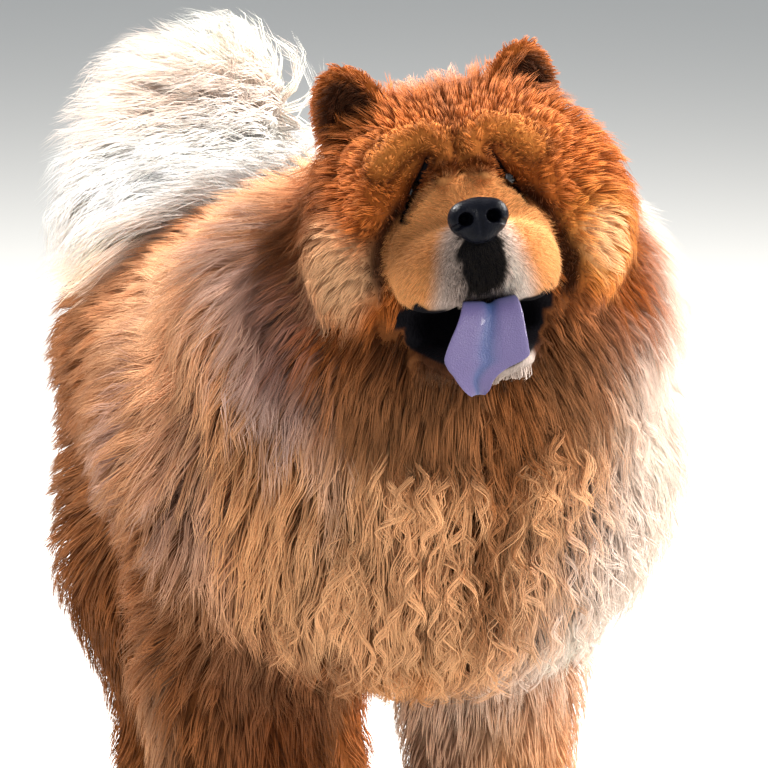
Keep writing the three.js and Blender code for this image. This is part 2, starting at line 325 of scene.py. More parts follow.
def coat_depth(points):
    head = to_head(points)
    dog = points - DOG_PLACE
    depth = np.full(len(points), 0.024)
    depth += 0.006 * ease(dog[:, 1], -0.05, -0.15) * ease(dog[:, 2], 0.26, 0.34)
    depth += (0.013 - depth) * ease(dog[:, 2], 0.27, 0.20)
    depth += (0.005 - depth) * ease(dog[:, 2], 0.11, 0.05)
    depth += (0.032 - depth) * tail_share(dog)
    depth += (0.012 - depth) * face_share(head)
    return depth


# %% [markdown]
# A chow's face is a broad padded muzzle set into deep folds. The brows hang over small deep-set eyes, a
# furrow runs up the forehead between them, and the upper lip falls in two heavy flews over an open mouth.
# Each of those is a ball or a rod in the head's own frame, melted in or carved out.

# %% The face
BROW_FOLD = [(-0.052, -0.068, 0.038), (-0.038, -0.073, 0.052), (-0.022, -0.076, 0.056),
             (-0.010, -0.079, 0.047), (-0.008, -0.083, 0.034), (-0.015, -0.086, 0.027)]
EYE_SLIT = [(-0.021, 0.040), (-0.031, 0.021), (-0.042, 0.000)]
MUZZLE_CREASE = [(-0.042, -0.072, 0.004), (-0.058, -0.070, -0.016), (-0.0665, -0.066, -0.042),
                 (-0.062, -0.062, -0.066)]
BRIDGE_CREASE = [(-0.040, -0.074, 0.008), (-0.026, -0.084, 0.024), (-0.010, -0.090, 0.031),
                 (0.010, -0.090, 0.031), (0.026, -0.084, 0.024), (0.040, -0.074, 0.008)]
MOUTH_CORNERS = [((-0.041, -0.074, -0.076), (0.020, 0.030, 0.015)),
                 ((0.043, -0.074, -0.080), (0.018, 0.030, 0.015)),
                 ((0, -0.080, -0.080), (0.040, 0.060, 0.017))]
LEAST_FUR = 0.0035


def chain(points, places, thick, soft):
    shape = rod(points, places[0], places[1], thick)
    for start, end in zip(places[1:], places[2:]):
        shape = melt(shape, rod(points, start, end, thick), soft)
    return shape


def brows(side):
    pad = ball(side, (-0.055, -0.052, 0.044), (0.026, 0.022, 0.018))
    lid = ball(side, (-0.059, -0.057, 0.014), (0.0165, 0.018, 0.024))
    inner = ball(side, (-0.016, -0.058, 0.022), (0.013, 0.020, 0.024))
    return melt(melt(pad, lid, 0.006), inner, 0.002)


def muzzle(head):
    shape = rod(head, (0, -0.046, 0.001), (0, -0.113, -0.008), 0.022, 0.0165)
    shape = melt(shape, ball(head, (0, -0.092, -0.002), (0.038, 0.028, 0.027)), 0.006)
    shape = melt(shape, ball(head, (0, -0.076, -0.026), (0.057, 0.044, 0.040)), 0.012)
    shape = melt(shape, ball(head, (0, -0.106, -0.026), (0.032, 0.021, 0.024)), 0.010)
    for side in (head, mirrored(head)):
        shape = melt(shape, ball(side, (-0.033, -0.087, -0.041), (0.0265, 0.033, 0.027)), 0.007)
    return shape


def lower_jaw(head):
    shape = ball(head, (0, -0.036, -0.100), (0.050, 0.048, 0.018))
    shape = melt(shape, ball(head, (0, -0.074, -0.106), (0.034, 0.028, 0.013)), 0.010)
    return melt(shape, rod(head, (-0.017, -0.094, -0.102), (0.017, -0.094, -0.102), 0.0065), 0.006)


def eye_slit(side):
    flat = side * [1, 0, 1]
    (x0, z0), (x1, z1), (x2, z2) = EYE_SLIT
    slot = rod(flat, (x0, 0, z0), (x1, 0, z1), 0.0006, 0.0019)
    slot = np.minimum(slot, rod(flat, (x1, 0, z1), (x2, 0, z2), 0.0019, 0.0017))
    return np.maximum(slot, side[:, 1] + 0.046)


def eye_hollow(side):
    return ball(side, (-EYE_X, EYE_Y, EYE_Z), [EYE_RADIUS + 0.0008] * 3)


def mouth_room(head):
    """Everything that shows between the lips: the cavity, the lip edges and the gums."""
    bend = 0.011 - 0.020 * (head[:, 0] / 0.044) ** 2
    from_middle = np.abs(head - [0, -0.048, -0.0815] + bend[:, None] * [0, 0, 1]) - [0.044, 0.058, 0.0125]
    return np.linalg.norm(np.maximum(from_middle, 0), axis=1) + np.minimum(from_middle.max(1), 0) - 0.004


def mouth(head):
    shape = ball(head, *MOUTH_CORNERS[0])
    for centre, radii in MOUTH_CORNERS[1:]:
        shape = melt(shape, ball(head, centre, radii), 0.006)
    return melt(shape, ball(head, (0.001, -0.122, -0.068), (0.017, 0.024, 0.014)), 0.005)


def face(head, body, room):
    """The head's own flesh added to the body, kept a little under the outside of the coat."""
    shape = body
    for side in (head, mirrored(head)):
        shape = melt(shape, ball(side, (-0.082, -0.036, -0.036), (0.028, 0.034, 0.036)), 0.014)
        shape = melt(shape, brows(side), 0.003)
    shape = melt(shape, muzzle(head), 0.003)
    shape = melt(shape, lower_jaw(head), 0.006)
    shape = carve(shape, -(room + LEAST_FUR), 0.004)
    for side in (head, mirrored(head)):
        shape = melt(shape, chain(side, BROW_FOLD, 0.0078, 0.004), 0.0035)
    shape = carve(shape, mouth(head), 0.005)
    shape = carve(shape, rod(head, (0, -0.139, -0.026), (0, -0.130, -0.064), 0.009, 0.014), 0.006)
    shape = carve(shape, rod(head, (0, -0.097, 0.024), (0, -0.083, 0.062), 0.0050), 0.006)
    shape = carve(shape, rod(head, (0, -0.083, 0.062), (-0.004, -0.066, 0.098), 0.0060), 0.008)
    shape = carve(shape, chain(head, BRIDGE_CREASE, 0.0032, 0.003), 0.004)
    for side in (head, mirrored(head)):
        shape = carve(shape, chain(side, MUZZLE_CREASE, 0.0055, 0.003), 0.004)
        shape = carve(shape, eye_slit(side), 0.0025)
        shape = carve(shape, eye_hollow(side), 0.001)
    return shape


print("the brow roll has", len(BROW_FOLD), "points and the crease", len(MUZZLE_CREASE))

# %% [markdown]
# The ears are small, thick and rounded, tipped forward, and hollow in front. Each has its own frame. The
# paws are round like a cat's, with four arched toes.

# %% Ears and paws
EAR_PLACE = np.array([0.050, 0.012, 0.042])
EAR_TILTS = (math.radians(11), math.radians(16), math.radians(98))
FORE_SPREAD = 0.096
HIND_SPREAD = 0.068
HIP_SHIFT = 0.030
FORE_Y = -0.165
HIND_Y = 0.215
TOE_SPACING = 0.019
PAWS = [(-FORE_SPREAD, FORE_Y - 0.008), (FORE_SPREAD, FORE_Y - 0.008),
        (HIP_SHIFT - HIND_SPREAD, HIND_Y - 0.012), (HIP_SHIFT + HIND_SPREAD, HIND_Y - 0.012)]


def ear_axes(side):
    out, twist, back = EAR_TILTS
    return turning(side * out, "Y") @ turning(side * twist, "Z") @ turning(back, "X")


def to_ear(head, side):
    return (head - EAR_PLACE * [side, 1, 1]) @ ear_axes(side)


def ear(local):
    shape = ball(local, (0, 0.030, 0.004), (0.027, 0.041, 0.0085))
    return carve(shape, ball(local, (0, 0.031, 0.017), (0.017, 0.030, 0.013)), 0.002)


def toe_places(x, y):
    return [(x + step * TOE_SPACING, y - 0.044 + abs(step) * 0.007) for step in (-1.5, -0.5, 0.5, 1.5)]


def paw(dog, x, y):
    shape = ball(dog, (x, y + 0.006, 0.016), (0.034, 0.040, 0.030))
    for tx, ty in toe_places(x, y):
        shape = melt(shape, ball(dog, (tx, ty + 0.009, 0.013), (0.0108, 0.021, 0.0165)), 0.004)
    return shape


# %% [markdown]
# The whole skin is the outside of the coat set in by the coat's depth, with the face, the ears and the paws
# melted on. The floor cuts the soles flat.

# %% The whole skin by distance
SOLE = 0.0004


def skin_distance(points, coat_values=None):
    head = to_head(points)
    dog = points - DOG_PLACE
    room = lookup(COAT, points) if coat_values is None else coat_values.astype(float)
    body = room + coat_depth(points)
    shape = body
    close = np.linalg.norm(head, axis=1) < 0.21
    if close.any():
        h = head[close]
        joined_head = face(h, body[close], room[close])
        for side in (-1, 1):
            joined_head = melt(joined_head, ear(to_ear(h, side)), 0.005)
        shape = shape.copy()
        shape[close] = joined_head
    for x, y in PAWS:
        near = (np.abs(dog[:, 0] - x) < 0.06) & (np.abs(dog[:, 1] - y) < 0.09) & (dog[:, 2] < 0.07)
        if near.any():
            shape[near] = melt(shape[near], paw(dog[near], x, y), 0.012)
    return np.maximum(shape, SOLE - points[:, 2])


def skin_grid():
    values = np.empty(GRID_SIZE, np.float32)
    rows = (np.arange(GRID_SIZE[1]), np.arange(GRID_SIZE[2]))
    y, z = np.meshgrid(*rows, indexing="ij")
    for i in range(GRID_SIZE[0]):
        places = np.stack([np.full(y.size, float(i)), y.ravel(), z.ravel()], 1) * CELL + GRID_LOW
        slab = COAT[i].ravel()
        near = slab < 0.03
        found = slab.astype(float) + 0.02
        if near.any():
            found[near] = skin_distance(places[near], slab[near])
        values[i] = found.reshape(y.shape)
    return values


SKIN = skin_grid()
skin_places, skin_tris, skin_quads = surface_of(SKIN)
skin_places = skin_places + GRID_LOW
print("first skin:", len(skin_places), "points,", len(skin_tris), "triangles,", len(skin_quads), "quads")

# %% [markdown]
# The grid's cells are too coarse for lids and lips. The faces of the head are split once and those around
# the eyes, nose and mouth once more, and every point is then slid onto the true surface.

# %% Refine the face and settle the points
PROBE = 0.0006
LONGEST_SLIDE = 0.004


def settle(points, rounds=4):
    for _ in range(rounds):
        gap = skin_distance(points)
        slope = np.empty_like(points)
        for axis in range(3):
            step = np.zeros(3)
            step[axis] = PROBE
            rise = skin_distance(points + step) - skin_distance(points - step)
            slope[:, axis] = rise / (2 * PROBE)
        steep = np.maximum((slope ** 2).sum(1), 0.25)
        points = points - slope * np.clip(gap / steep, -LONGEST_SLIDE, LONGEST_SLIDE)[:, None]
    return points


def split_faces(mesh, wanted):
    """Splits the edges of the faces whose middles wanted() picks, in the head's frame."""
    shape = bmesh.new()
    shape.from_mesh(mesh)
    shape.faces.ensure_lookup_table()
    middles = np.array([f.calc_center_median() for f in shape.faces])
    picked = wanted(to_head(middles))
    edges = {edge for f, yes in zip(shape.faces, picked) if yes for edge in f.edges}
    bmesh.ops.subdivide_edges(shape, edges=list(edges), cuts=1, use_grid_fill=True)
    shape.to_mesh(mesh)
    shape.free()


def whole_face(head):
    return (head[:, 1] < 0.03) & (np.linalg.norm(head, axis=1) < 0.155)


def fine_face(head):
    return (head[:, 1] < -0.048) & (np.abs(head[:, 0]) < 0.072) & (head[:, 2] < 0.075)


skin_mesh = bpy.data.meshes.new("skin")
skin_faces = [list(f) for f in skin_tris] + [list(f) for f in skin_quads]
skin_mesh.from_pydata(skin_places.tolist(), [], skin_faces)
for wanted in (whole_face, fine_face):
    split_faces(skin_mesh, wanted)
shape = bmesh.new()
shape.from_mesh(skin_mesh)
bmesh.ops.triangulate(shape, faces=shape.faces[:])
bmesh.ops.recalc_face_normals(shape, faces=shape.faces[:])
shape.to_mesh(skin_mesh)
shape.free()
rough_places, _ = mesh_arrays(skin_mesh)
skin_points = settle(rough_places.astype(float))
skin_mesh.vertices.foreach_set("co", skin_points.astype(np.float32).ravel())
skin_mesh.update()
skin_mesh.shade_smooth()
print("settled skin:", len(skin_mesh.vertices), "points,", len(skin_mesh.polygons), "triangles")

# %% [markdown]
# The markings are one rule that gives the colour at any place on the dog. The skin and every lock of hair
# ask the same rule, so they always agree. The reds are deepest on the rump, where they are partly painted
# shade behind the mane. The cheeks are gold, the mane turns tan with cream edges, and the tail is nearly
# white. The rule
# also paints light and shade: painted shade in the folds and creases of the face, under the jaw, between the
# legs and on the dog's shaded right side, and paler painted light on its lit left side.

# %% Markings
RUST = (0.42, 0.108, 0.018)
# Deep rust is the forehead's deepest red, and also painted shade in the face's creases, around the eyes and
# under the chest
DEEP_RUST_AND_SHADE = (0.16, 0.034, 0.006)
GOLD = (0.90, 0.36, 0.075)
PALE_GOLD = (0.95, 0.56, 0.30)
MUZZLE_TAN = (0.84, 0.36, 0.12)
MUZZLE_PALE = (0.88, 0.74, 0.66)
TAN = (0.68, 0.355, 0.185)
# Brown is mostly painted shade: between the legs, under the jaw, in furrows and on the dog's shaded right
# side; on the rump it is partly the coat's own deeper colour
BROWN = (0.22, 0.070, 0.018)
CREAM = (0.97, 0.80, 0.69)
PEACH = (0.95, 0.62, 0.43)
LILAC_GREY = (0.50, 0.38, 0.38)
WHITE = (0.98, 0.96, 0.92)
BROW_GOLD = (0.72, 0.25, 0.055)
# Painted shade for the pale muzzle's shaded right side
MUZZLE_PAINTED_SHADE = (0.33, 0.24, 0.20)
BLACK_SKIN = (0.005, 0.0045, 0.006)
# Near black painted shade: in the ear's hollow, the muzzle's crease, on the chin under the mouth and on the
# head's shaded right side
PAINTED_SHADE_DARK = (0.045, 0.013, 0.005)


def paint(colours, colour, share):
    colours += (np.array(colour) - colours) * np.clip(share, 0, 1)[:, None]


def waves(points, seed, size):
    """A smooth random number from -1 to 1 that changes over about the given size."""
    random = np.random.default_rng(seed)
    total = np.zeros(len(points))
    for _ in range(6):
        direction = random.normal(size=3)
        direction *= random.uniform(0.6, 1.6) * math.pi / size / np.linalg.norm(direction)
        total += np.sin(points @ direction + random.uniform(0, 2 * math.pi))
    return np.clip(total / 2.6, -1, 1)


def lip_share(head):
    """The bare black skin: the lips, the mouth's inside, under the flews and the eyes' rims."""
    share = np.maximum(ease(mouth(head), 0.0045, 0.001), ease(mouth_room(head), 0.002, -0.001))
    under_flews = ease(mouth_room(head), 0.010, 0.005) * ease(head[:, 2], -0.056, -0.062)
    under_flews = under_flews * ease(head[:, 2], -0.078, -0.072) * ease(head[:, 1], -0.108, -0.101)
    behind = ease(np.abs(head[:, 0]), 0.046, 0.038) * ease(np.abs(head[:, 1] + 0.035), 0.058, 0.050)
    behind = behind * ease(head[:, 2], -0.048, -0.054) * ease(head[:, 2], -0.092, -0.086)
    share = np.maximum(np.maximum(share, under_flews), behind)
    for side in (head, mirrored(head)):
        share = np.maximum(share, ease(eye_slit(side), 0.0018, 0.0004))
    return share


def strip_share(head):
    """The black strip from the nose down to the mouth, with a ragged edge."""
    strip = rod(head, (0, -0.130, -0.014), (0.001, -0.120, -0.078), 0.0145, 0.0175)
    return ease(strip + 0.0030 * waves(head, 31, 0.006), 0.002, -0.002) * ease(head[:, 1], -0.085, -0.10)


def on_muzzle(head):
    return ease(muzzle(head), 0.006, 0.001) * ease(head[:, 1], -0.040, -0.056)


def body_colours(dog, colours):
    paint(colours, RUST, 0.55 * band(dog, y=(-0.05, 0.05), z=(0.52, 0.60)))
    paint(colours, RUST, 0.50 * band(dog, y=(-0.12, 0.02)))
    # The hind half below the back is darker: partly the coat's own deeper colour, partly painted shade
    # behind the mane
    paint(colours, BROWN, 0.80 * band(dog, y=(0.00, 0.10), z=(0.56, 0.46)))
    low = band(dog, z=(0.30, 0.20))
    paint(colours, RUST, 0.60 * low)
    # Painted shade between the legs, on their inner sides and the underside
    paint(colours, BROWN, 0.90 * low * ease(np.abs(dog[:, 0]), 0.13, 0.09))
    # Painted shade on the dog's lower right flank, the side away from the key light
    paint(colours, BROWN, 0.60 * band(dog, (-0.08, -0.14), (-0.16, -0.04), (0.50, 0.40)))
    paint(colours, GOLD, 0.30 * band(dog, y=(-0.20, -0.30), z=(0.52, 0.44)))
    # Painted shadow on the right foreleg's front, under the chest fur
    paint(colours, DEEP_RUST_AND_SHADE, 0.65 * band(dog, (-0.03, -0.07), (0, -0.1), (0.345, 0.29)))
    # Painted shade on the right side of the mane, deeper towards its lower edge
    shade = band(dog, x=(-0.10, -0.15), y=(-0.28, -0.18))
    paint(colours, BROWN, 0.55 * shade * band(dog, z=(0.50, 0.44)))
    paint(colours, BROWN, 0.75 * shade * band(dog, z=(0.41, 0.34)))
    # Painted shade on the dog's right side below and behind the mane
    paint(colours, BROWN, 0.60 * band(dog, (-0.06, -0.11), (-0.16, -0.06), (0.40, 0.32)))
    paint(colours, TAN, 0.75 * band(dog, (-0.145, -0.165), (-0.08, -0.12), (0.30, 0.26)))
    paint(colours, GOLD, 0.45 * band(dog, (0.05, 0.09), (0.0, -0.10), (0.32, 0.26)))
    front = band(dog, y=(-0.20, -0.26), z=(0.26, 0.32)) * band(dog, z=(0.50, 0.42))
    paint(colours, PALE_GOLD, 0.30 * front * band(dog, x=(-0.13, -0.08)))
    # Painted light: peach and cream make the dog's left front paler, the side the lamps light; the cream is
    # partly also the ruff's own pale edge
    side = dog[:, 0] - 0.3 * (np.minimum(dog[:, 2], 0.45) - 0.4) + 0.35 * np.maximum(dog[:, 2] - 0.45, 0)
    paint(colours, PEACH, 0.55 * ease(side, 0.03, 0.10) * band(dog, y=(-0.02, -0.12), z=(0.10, 0.22)))
    paint(colours, CREAM, 0.97 * ease(side, 0.065, 0.115) * band(dog, y=(-0.13, -0.22), z=(0.20, 0.30)))
    # Painted shade in the furrow down the middle of the chest
    furrow = ease(np.abs(dog[:, 0] - 0.018), 0.020, 0.008)
    paint(colours, BROWN, 0.80 * furrow * band(dog, y=(-0.20, -0.25), z=(0.30, 0.34)))
    grey = ease(waves(dog * [1, 1, 0.4], 11, 0.035), 0.1, 0.8) * band(dog, x=(-0.03, -0.10))
    paint(colours, LILAC_GREY, 0.30 * grey * band(dog, y=(-0.05, -0.15), z=(0.30, 0.40)))
    gap, _ = near_tail(dog)
    tail = ease(gap, 0.17, 0.11) * band(dog, y=(0.02, 0.08), z=(0.470, 0.500))
    paint(colours, PEACH, tail)
    paint(colours, WHITE, tail * ease(dog[:, 2] + 0.5 * dog[:, 0], 0.43, 0.51))


def cheek_and_brow_colours(head, side, near, gold, amount, middle, colours):
    """One side of the face: side is the head's frame, mirrored for the left."""
    patch = ball(side, (-0.088, -0.045, middle), (0.018, 0.04, 0.026))
    patch += 0.007 * waves(head, 41, 0.018)
    paint(colours, gold, amount * ease(patch, 0.018, -0.012) * near)
    paint(colours, PALE_GOLD, 0.8 * amount * ease(patch, 0.004, -0.014) * near)
    over_eye = ball(side, (-0.040, -0.070, 0.044), (0.020, 0.03, 0.014))
    paint(colours, GOLD, 0.3 * ease(over_eye, 0.010, -0.01))
    roll = chain(side, BROW_FOLD, 0.0075, 0.004)
    # Painted shade in the crease around the brow roll
    brow_crease_shade = ease(roll, 0.0085, 0.004) * ease(roll, 0.0015, 0.003) * band(side, z=(0.0, 0.02))
    paint(colours, DEEP_RUST_AND_SHADE, 0.85 * brow_crease_shade)
    paint(colours, BROW_GOLD, 0.55 * ease(roll, 0.0070, -0.003))
    # Painted shade around the eye slit
    paint(colours, DEEP_RUST_AND_SHADE, 0.90 * ease(eye_slit(side), 0.010, 0.001))
    # Painted shade in the crease down the side of the muzzle
    paint(colours, PAINTED_SHADE_DARK, 0.95 * ease(chain(side, MUZZLE_CREASE, 0.004, 0.003), 0.011, 0.002))


def muzzle_colours(head, colours):
    flesh = on_muzzle(head)
    paint(colours, MUZZLE_TAN, flesh)
    # Painted shade in the crease across the bridge of the muzzle
    paint(colours, DEEP_RUST_AND_SHADE, 0.85 * ease(chain(head, BRIDGE_CREASE, 0.003, 0.003), 0.0055, 0.001))
    # Painted shade on the upper right side of the muzzle
    paint(colours, BROWN, 0.62 * flesh * band(head, x=(-0.022, -0.050), z=(-0.045, -0.015)))
    tip = rod(head, (0, -0.130, -0.014), (0, -0.112, -0.066), 0.018, 0.030)
    pale = flesh * ease(tip, 0.014, -0.002)
    paint(colours, MUZZLE_PALE, 0.92 * pale * band(head, z=(0.012, -0.008)))
    # Painted shade on the right half of the pale muzzle tip
    paint(colours, MUZZLE_PAINTED_SHADE, 0.60 * pale * band(head, x=(-0.004, -0.014)))
    chin = ball(head, (0.018, -0.096, -0.106), (0.016, 0.03, 0.014))
    paint(colours, MUZZLE_PALE, 0.6 * ease(chin, 0.008, -0.004) * band(head, z=(-0.090, -0.098)))


def head_colours(head, colours):
    near = ease(np.linalg.norm(head, axis=1), 0.165, 0.118) * band(head, y=(0.06, 0.00))
    paint(colours, RUST, near * band(head, z=(-0.120, -0.060)))
    # Painted shade on the head's right side, in front of the ear
    temple = ball(head, (-0.104, -0.005, 0.030), (0.020, 0.05, 0.045))
    paint(colours, PAINTED_SHADE_DARK, 0.65 * ease(temple, 0.018, -0.006))
    paint(colours, CREAM, 0.80 * band(head, (0.045, 0.0), (-0.025, 0.015), (0.066, 0.088)))
    # Painted shade under the head, on the jaw and the throat below it
    jaw = ease(np.linalg.norm(head * [1.3, 1, 1], axis=1), 0.185, 0.145) * band(head, y=(0.02, -0.02))
    paint(colours, BROWN, 0.85 * jaw * band(head, z=(-0.050, -0.085)))
    # Painted shade on the chin under the open mouth
    paint(colours, PAINTED_SHADE_DARK, 0.80 * ease(lower_jaw(head), 0.018, 0.002) * band(head, y=(-0.03, -0.06)))
    # Painted shade in the furrow up the middle of the forehead
    middle_line = ease(np.abs(head[:, 0]), 0.010, 0.003)
    paint(colours, BROWN, 0.5 * near * middle_line * band(head, z=(0.03, 0.05)))
    cheek_and_brow_colours(head, head, near, PALE_GOLD, 0.60, -0.030, colours)
    cheek_and_brow_colours(head, mirrored(head), near, GOLD, 0.95, -0.026, colours)
    forehead = ease(np.abs(head[:, 0]), 0.075, 0.055) * band(head, z=(0.050, 0.070))
    paint(colours, DEEP_RUST_AND_SHADE, 0.28 * forehead * near)
    ruff = ball(head, (-0.122, 0.025, -0.060), (0.018, 0.05, 0.055))
    paint(colours, LILAC_GREY, 0.45 * ease(ruff, 0.022, -0.006))
    muzzle_colours(head, colours)
    for side in (-1, 1):
        local = to_ear(head, side)
        ear_near = ease(ear(local), 0.012, 0.002)
        paint(colours, RUST, ear_near)
        # Painted shade in the ear's hollow
        cup = ease(ball(local, (0, 0.030, 0.015), (0.018, 0.031, 0.013)), 0.007, 0.000)
        paint(colours, PAINTED_SHADE_DARK, 0.95 * cup * ear_near)


def specks(head):
    """Black specks that thicken towards the black skin under the nose."""
    strip = rod(head, (0, -0.130, -0.012), (0.001, -0.120, -0.062), 0.011, 0.015)
    dots = ease(waves(head, 21, 0.0017) + 0.6 * waves(head, 22, 0.0026), 0.15, 0.4)
    return dots * ease(strip, 0.013, 0.002) * ease(head[:, 2], 0.006, -0.004) * on_muzzle(head)


def markings(points):
    colours = np.tile(np.array(TAN), (len(points), 1))
    head = to_head(points)
    body_colours(points - DOG_PLACE, colours)
    head_colours(head, colours)
    colours *= (1 + 0.16 * waves(points, 3, 0.05) + 0.10 * waves(points, 4, 0.018))[:, None]
    black = np.maximum(lip_share(head), strip_share(head))
    paint(colours, BLACK_SKIN, np.maximum(black, 0.85 * specks(head)))
    return np.clip(colours, 0.004, 1)


print("the markings mix sixteen colours")

# %% [markdown]
# Materials come next. Hair takes its colour from the lock it belongs to. A little sheen and a broad soft
# highlight make it look like fur and not like plastic.

# %% Material helpers


def material(name, roughness, specular, sheen=0.0, sheen_tint=(1, 1, 1), coat=0.0):
    made = bpy.data.materials.new(name)
    made.use_nodes = True
    shader = made.node_tree.nodes["Principled BSDF"]
    shader.inputs["Roughness"].default_value = roughness
    shader.inputs["Specular IOR Level"].default_value = specular
    shader.inputs["Sheen Weight"].default_value = sheen
    shader.inputs["Sheen Tint"].default_value = (*sheen_tint, 1)
    shader.inputs["Coat Weight"].default_value = coat
    return made, made.node_tree.nodes, made.node_tree.links, shader


def new_node(nodes, kind, values=()):
    """A node with some of its inputs set, from pairs of an input's name and its value."""
    node = nodes.new("ShaderNode" + kind)
    for name, value in values:
        node.inputs[name].default_value = value
    return node


def toned(nodes, links, shader, source, low, high):
    """The base colour goes from low to high with the source."""
    tone = new_node(nodes, "ValToRGB")
    tone.color_ramp.elements[0].color = (*low, 1)
    tone.color_ramp.elements[1].color = (*high, 1)
    links.new(source, tone.inputs["Fac"])
    links.new(tone.outputs["Color"], shader.inputs["Base Color"])


def tinted(nodes, links, shader, spread, size):
    """The piece's own colours, made a little lighter and darker by fine noise."""
    tint = new_node(nodes, "Attribute")
    tint.attribute_name = "tint"
    noise = new_node(nodes, "TexNoise", [("Scale", size), ("Detail", 3)])
    span = new_node(nodes, "MapRange", [("To Min", 1 - spread), ("To Max", 1 + spread)])
    mix = new_node(nodes, "Mix")
    mix.data_type = "RGBA"
    mix.blend_type = "MULTIPLY"
    mix.inputs["Factor"].default_value = 1
    links.new(noise.outputs["Fac"], span.inputs["Value"])
    links.new(tint.outputs["Color"], mix.inputs[6])
    links.new(span.outputs["Result"], mix.inputs[7])
    links.new(mix.outputs[2], shader.inputs["Base Color"])


def bumped(nodes, links, shader, size, strength, distance, stretch=(1, 1, 1)):
    place = new_node(nodes, "TexCoord")
    squeeze = new_node(nodes, "Mapping", [("Scale", stretch)])
    noise = new_node(nodes, "TexNoise", [("Scale", size), ("Detail", 4)])
    bump = new_node(nodes, "Bump", [("Strength", strength), ("Distance", distance)])
    links.new(place.outputs["Object"], squeeze.inputs["Vector"])
    links.new(squeeze.outputs["Vector"], noise.inputs["Vector"])
    links.new(noise.outputs["Fac"], bump.inputs["Height"])
    links.new(bump.outputs["Normal"], shader.inputs["Normal"])


def skin_material():
    made, nodes, links, shader = material("undercoat", 0.80, 0.05)
    tinted(nodes, links, shader, 0.45, 260)
    bumped(nodes, links, shader, 420, 0.7, 0.002, (1, 1, 0.35))
    return made


def hair_material():
    made, nodes, links, shader = material("guard_hair", 0.66, 0.06, sheen=0.05, sheen_tint=(1, 0.75, 0.5))
    tinted(nodes, links, shader, 0.15, 120)
    return made


UNDERCOAT = skin_material()
HAIR = hair_material()
print("materials:", UNDERCOAT.name, HAIR.name)

# %% [markdown]
# Every visible piece is added in the same way: its mesh gets a material and it rides on the root body, and
# the imported solids that it dresses are hidden. The skin goes first and replaces all the flesh.

# %% Dress the skin


def set_tint(mesh, colours):
    layer = mesh.color_attributes.new("tint", "FLOAT_COLOR", "POINT")
    full = np.ones((len(colours), 4), np.float32)
    full[:, :3] = colours
    layer.data.foreach_set("color", full.ravel())


def add_piece(name, mesh, dress):
    piece = bpy.data.objects.new(name, mesh)
    bpy.context.scene.collection.objects.link(piece)
    mesh.materials.append(dress)
    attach(piece, "root")
    return piece


FLESH = [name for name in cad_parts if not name.startswith(SMALL_PARTS)]
skin_colours = markings(skin_points)
# The skin under the hair gets half its colour as painted shade deep in the coat; the bare black skin keeps
# its full colour
under = 0.50 + 0.50 * lip_share(to_head(skin_points))
set_tint(skin_mesh, skin_colours * under[:, None])
skin = add_piece("skin", skin_mesh, UNDERCOAT)
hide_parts(*FLESH)
print("the skin replaces", len(FLESH), "solids")

# %% [markdown]
# Which way hair lies is another rule. On the face it runs away from the nose. The mane runs back and down
# from there, the chest hangs down, the body's coat runs back and down, and the plume fans out from the tail.

# %% The lie of the coat
NOSE_TOP = np.array([0, -0.125, 0.004])


def lie(points):
    head = to_head(points)
    dog = points - DOG_PLACE
    body = np.zeros_like(points) + np.array([0.0, 0.85, -0.60])
    chest = ease(dog[:, 1], -0.16, -0.27)[:, None]
    hang = np.stack([1.6 * dog[:, 0], 0 * dog[:, 0] + 0.05, 0 * dog[:, 0] - 1], 1)
    body = body * (1 - chest) + hang * chest
    legs = ease(dog[:, 2], 0.28, 0.20)[:, None]
    body = body * (1 - legs) + np.array([0, 0.22, -1.0]) * legs
    feet = ease(dog[:, 2], 0.06, 0.03)[:, None]
    body = body * (1 - feet) + np.array([0, -0.7, -0.7]) * feet
    _, run = near_tail(dog)
    tail = tail_share(dog)[:, None]
    plume = 0.8 * run + np.array([-0.65, 0.15, 0.10])
    plume += ease(dog[:, 2], 0.56, 0.50)[:, None] * np.array([0, 0, -0.5])
    body = body * (1 - tail) + plume * tail
    away = unit(head - NOSE_TOP)
    drop = ease(np.linalg.norm(head - NOSE_TOP, axis=1), 0.06, 0.20)
    away[:, 2] -= 0.75 * drop * ease(np.abs(head[:, 0]), 0.02, 0.09)
    away = away @ HEAD_AXES.T
    on_head = (ease(np.linalg.norm(head, axis=1), 0.24, 0.15) * ease(head[:, 1], 0.14, 0.05))[:, None]
    return unit(body * (1 - on_head) + away * on_head)


def hair_length(points):
    head = to_head(points)
    dog = points - DOG_PLACE
    length = np.full(len(points), 0.058)
    length += (0.075 - length) * ease(dog[:, 1], 0.0, -0.15) * ease(dog[:, 2], 0.25, 0.35)
    length += (0.034 - length) * ease(dog[:, 2], 0.26, 0.18)
    length += (0.010 - length) * ease(dog[:, 2], 0.10, 0.04)
    length += (0.100 - length) * tail_share(dog)
    far = np.linalg.norm(head - NOSE_TOP, axis=1)
    on_face = 0.0055 + 0.006 * ease(far, 0.04, 0.09) + 0.056 * ease(far, 0.085, 0.19)
    length += (on_face - length) * face_share(head)
    for side in (head, mirrored(head)):
        length += (0.0045 - length) * ease(eye_slit(side), 0.012, 0.002)
        length += (0.0050 - length) * ease(chain(side, MUZZLE_CREASE, 0.004, 0.003), 0.010, 0.002)
        length += (0.0050 - length) * ease(chain(side, BROW_FOLD, 0.0075, 0.004), 0.009, 0.001)
    for side in (-1, 1):
        length += (0.009 - length) * ease(ear(to_ear(head, side)), 0.010, 0.003)
    return length


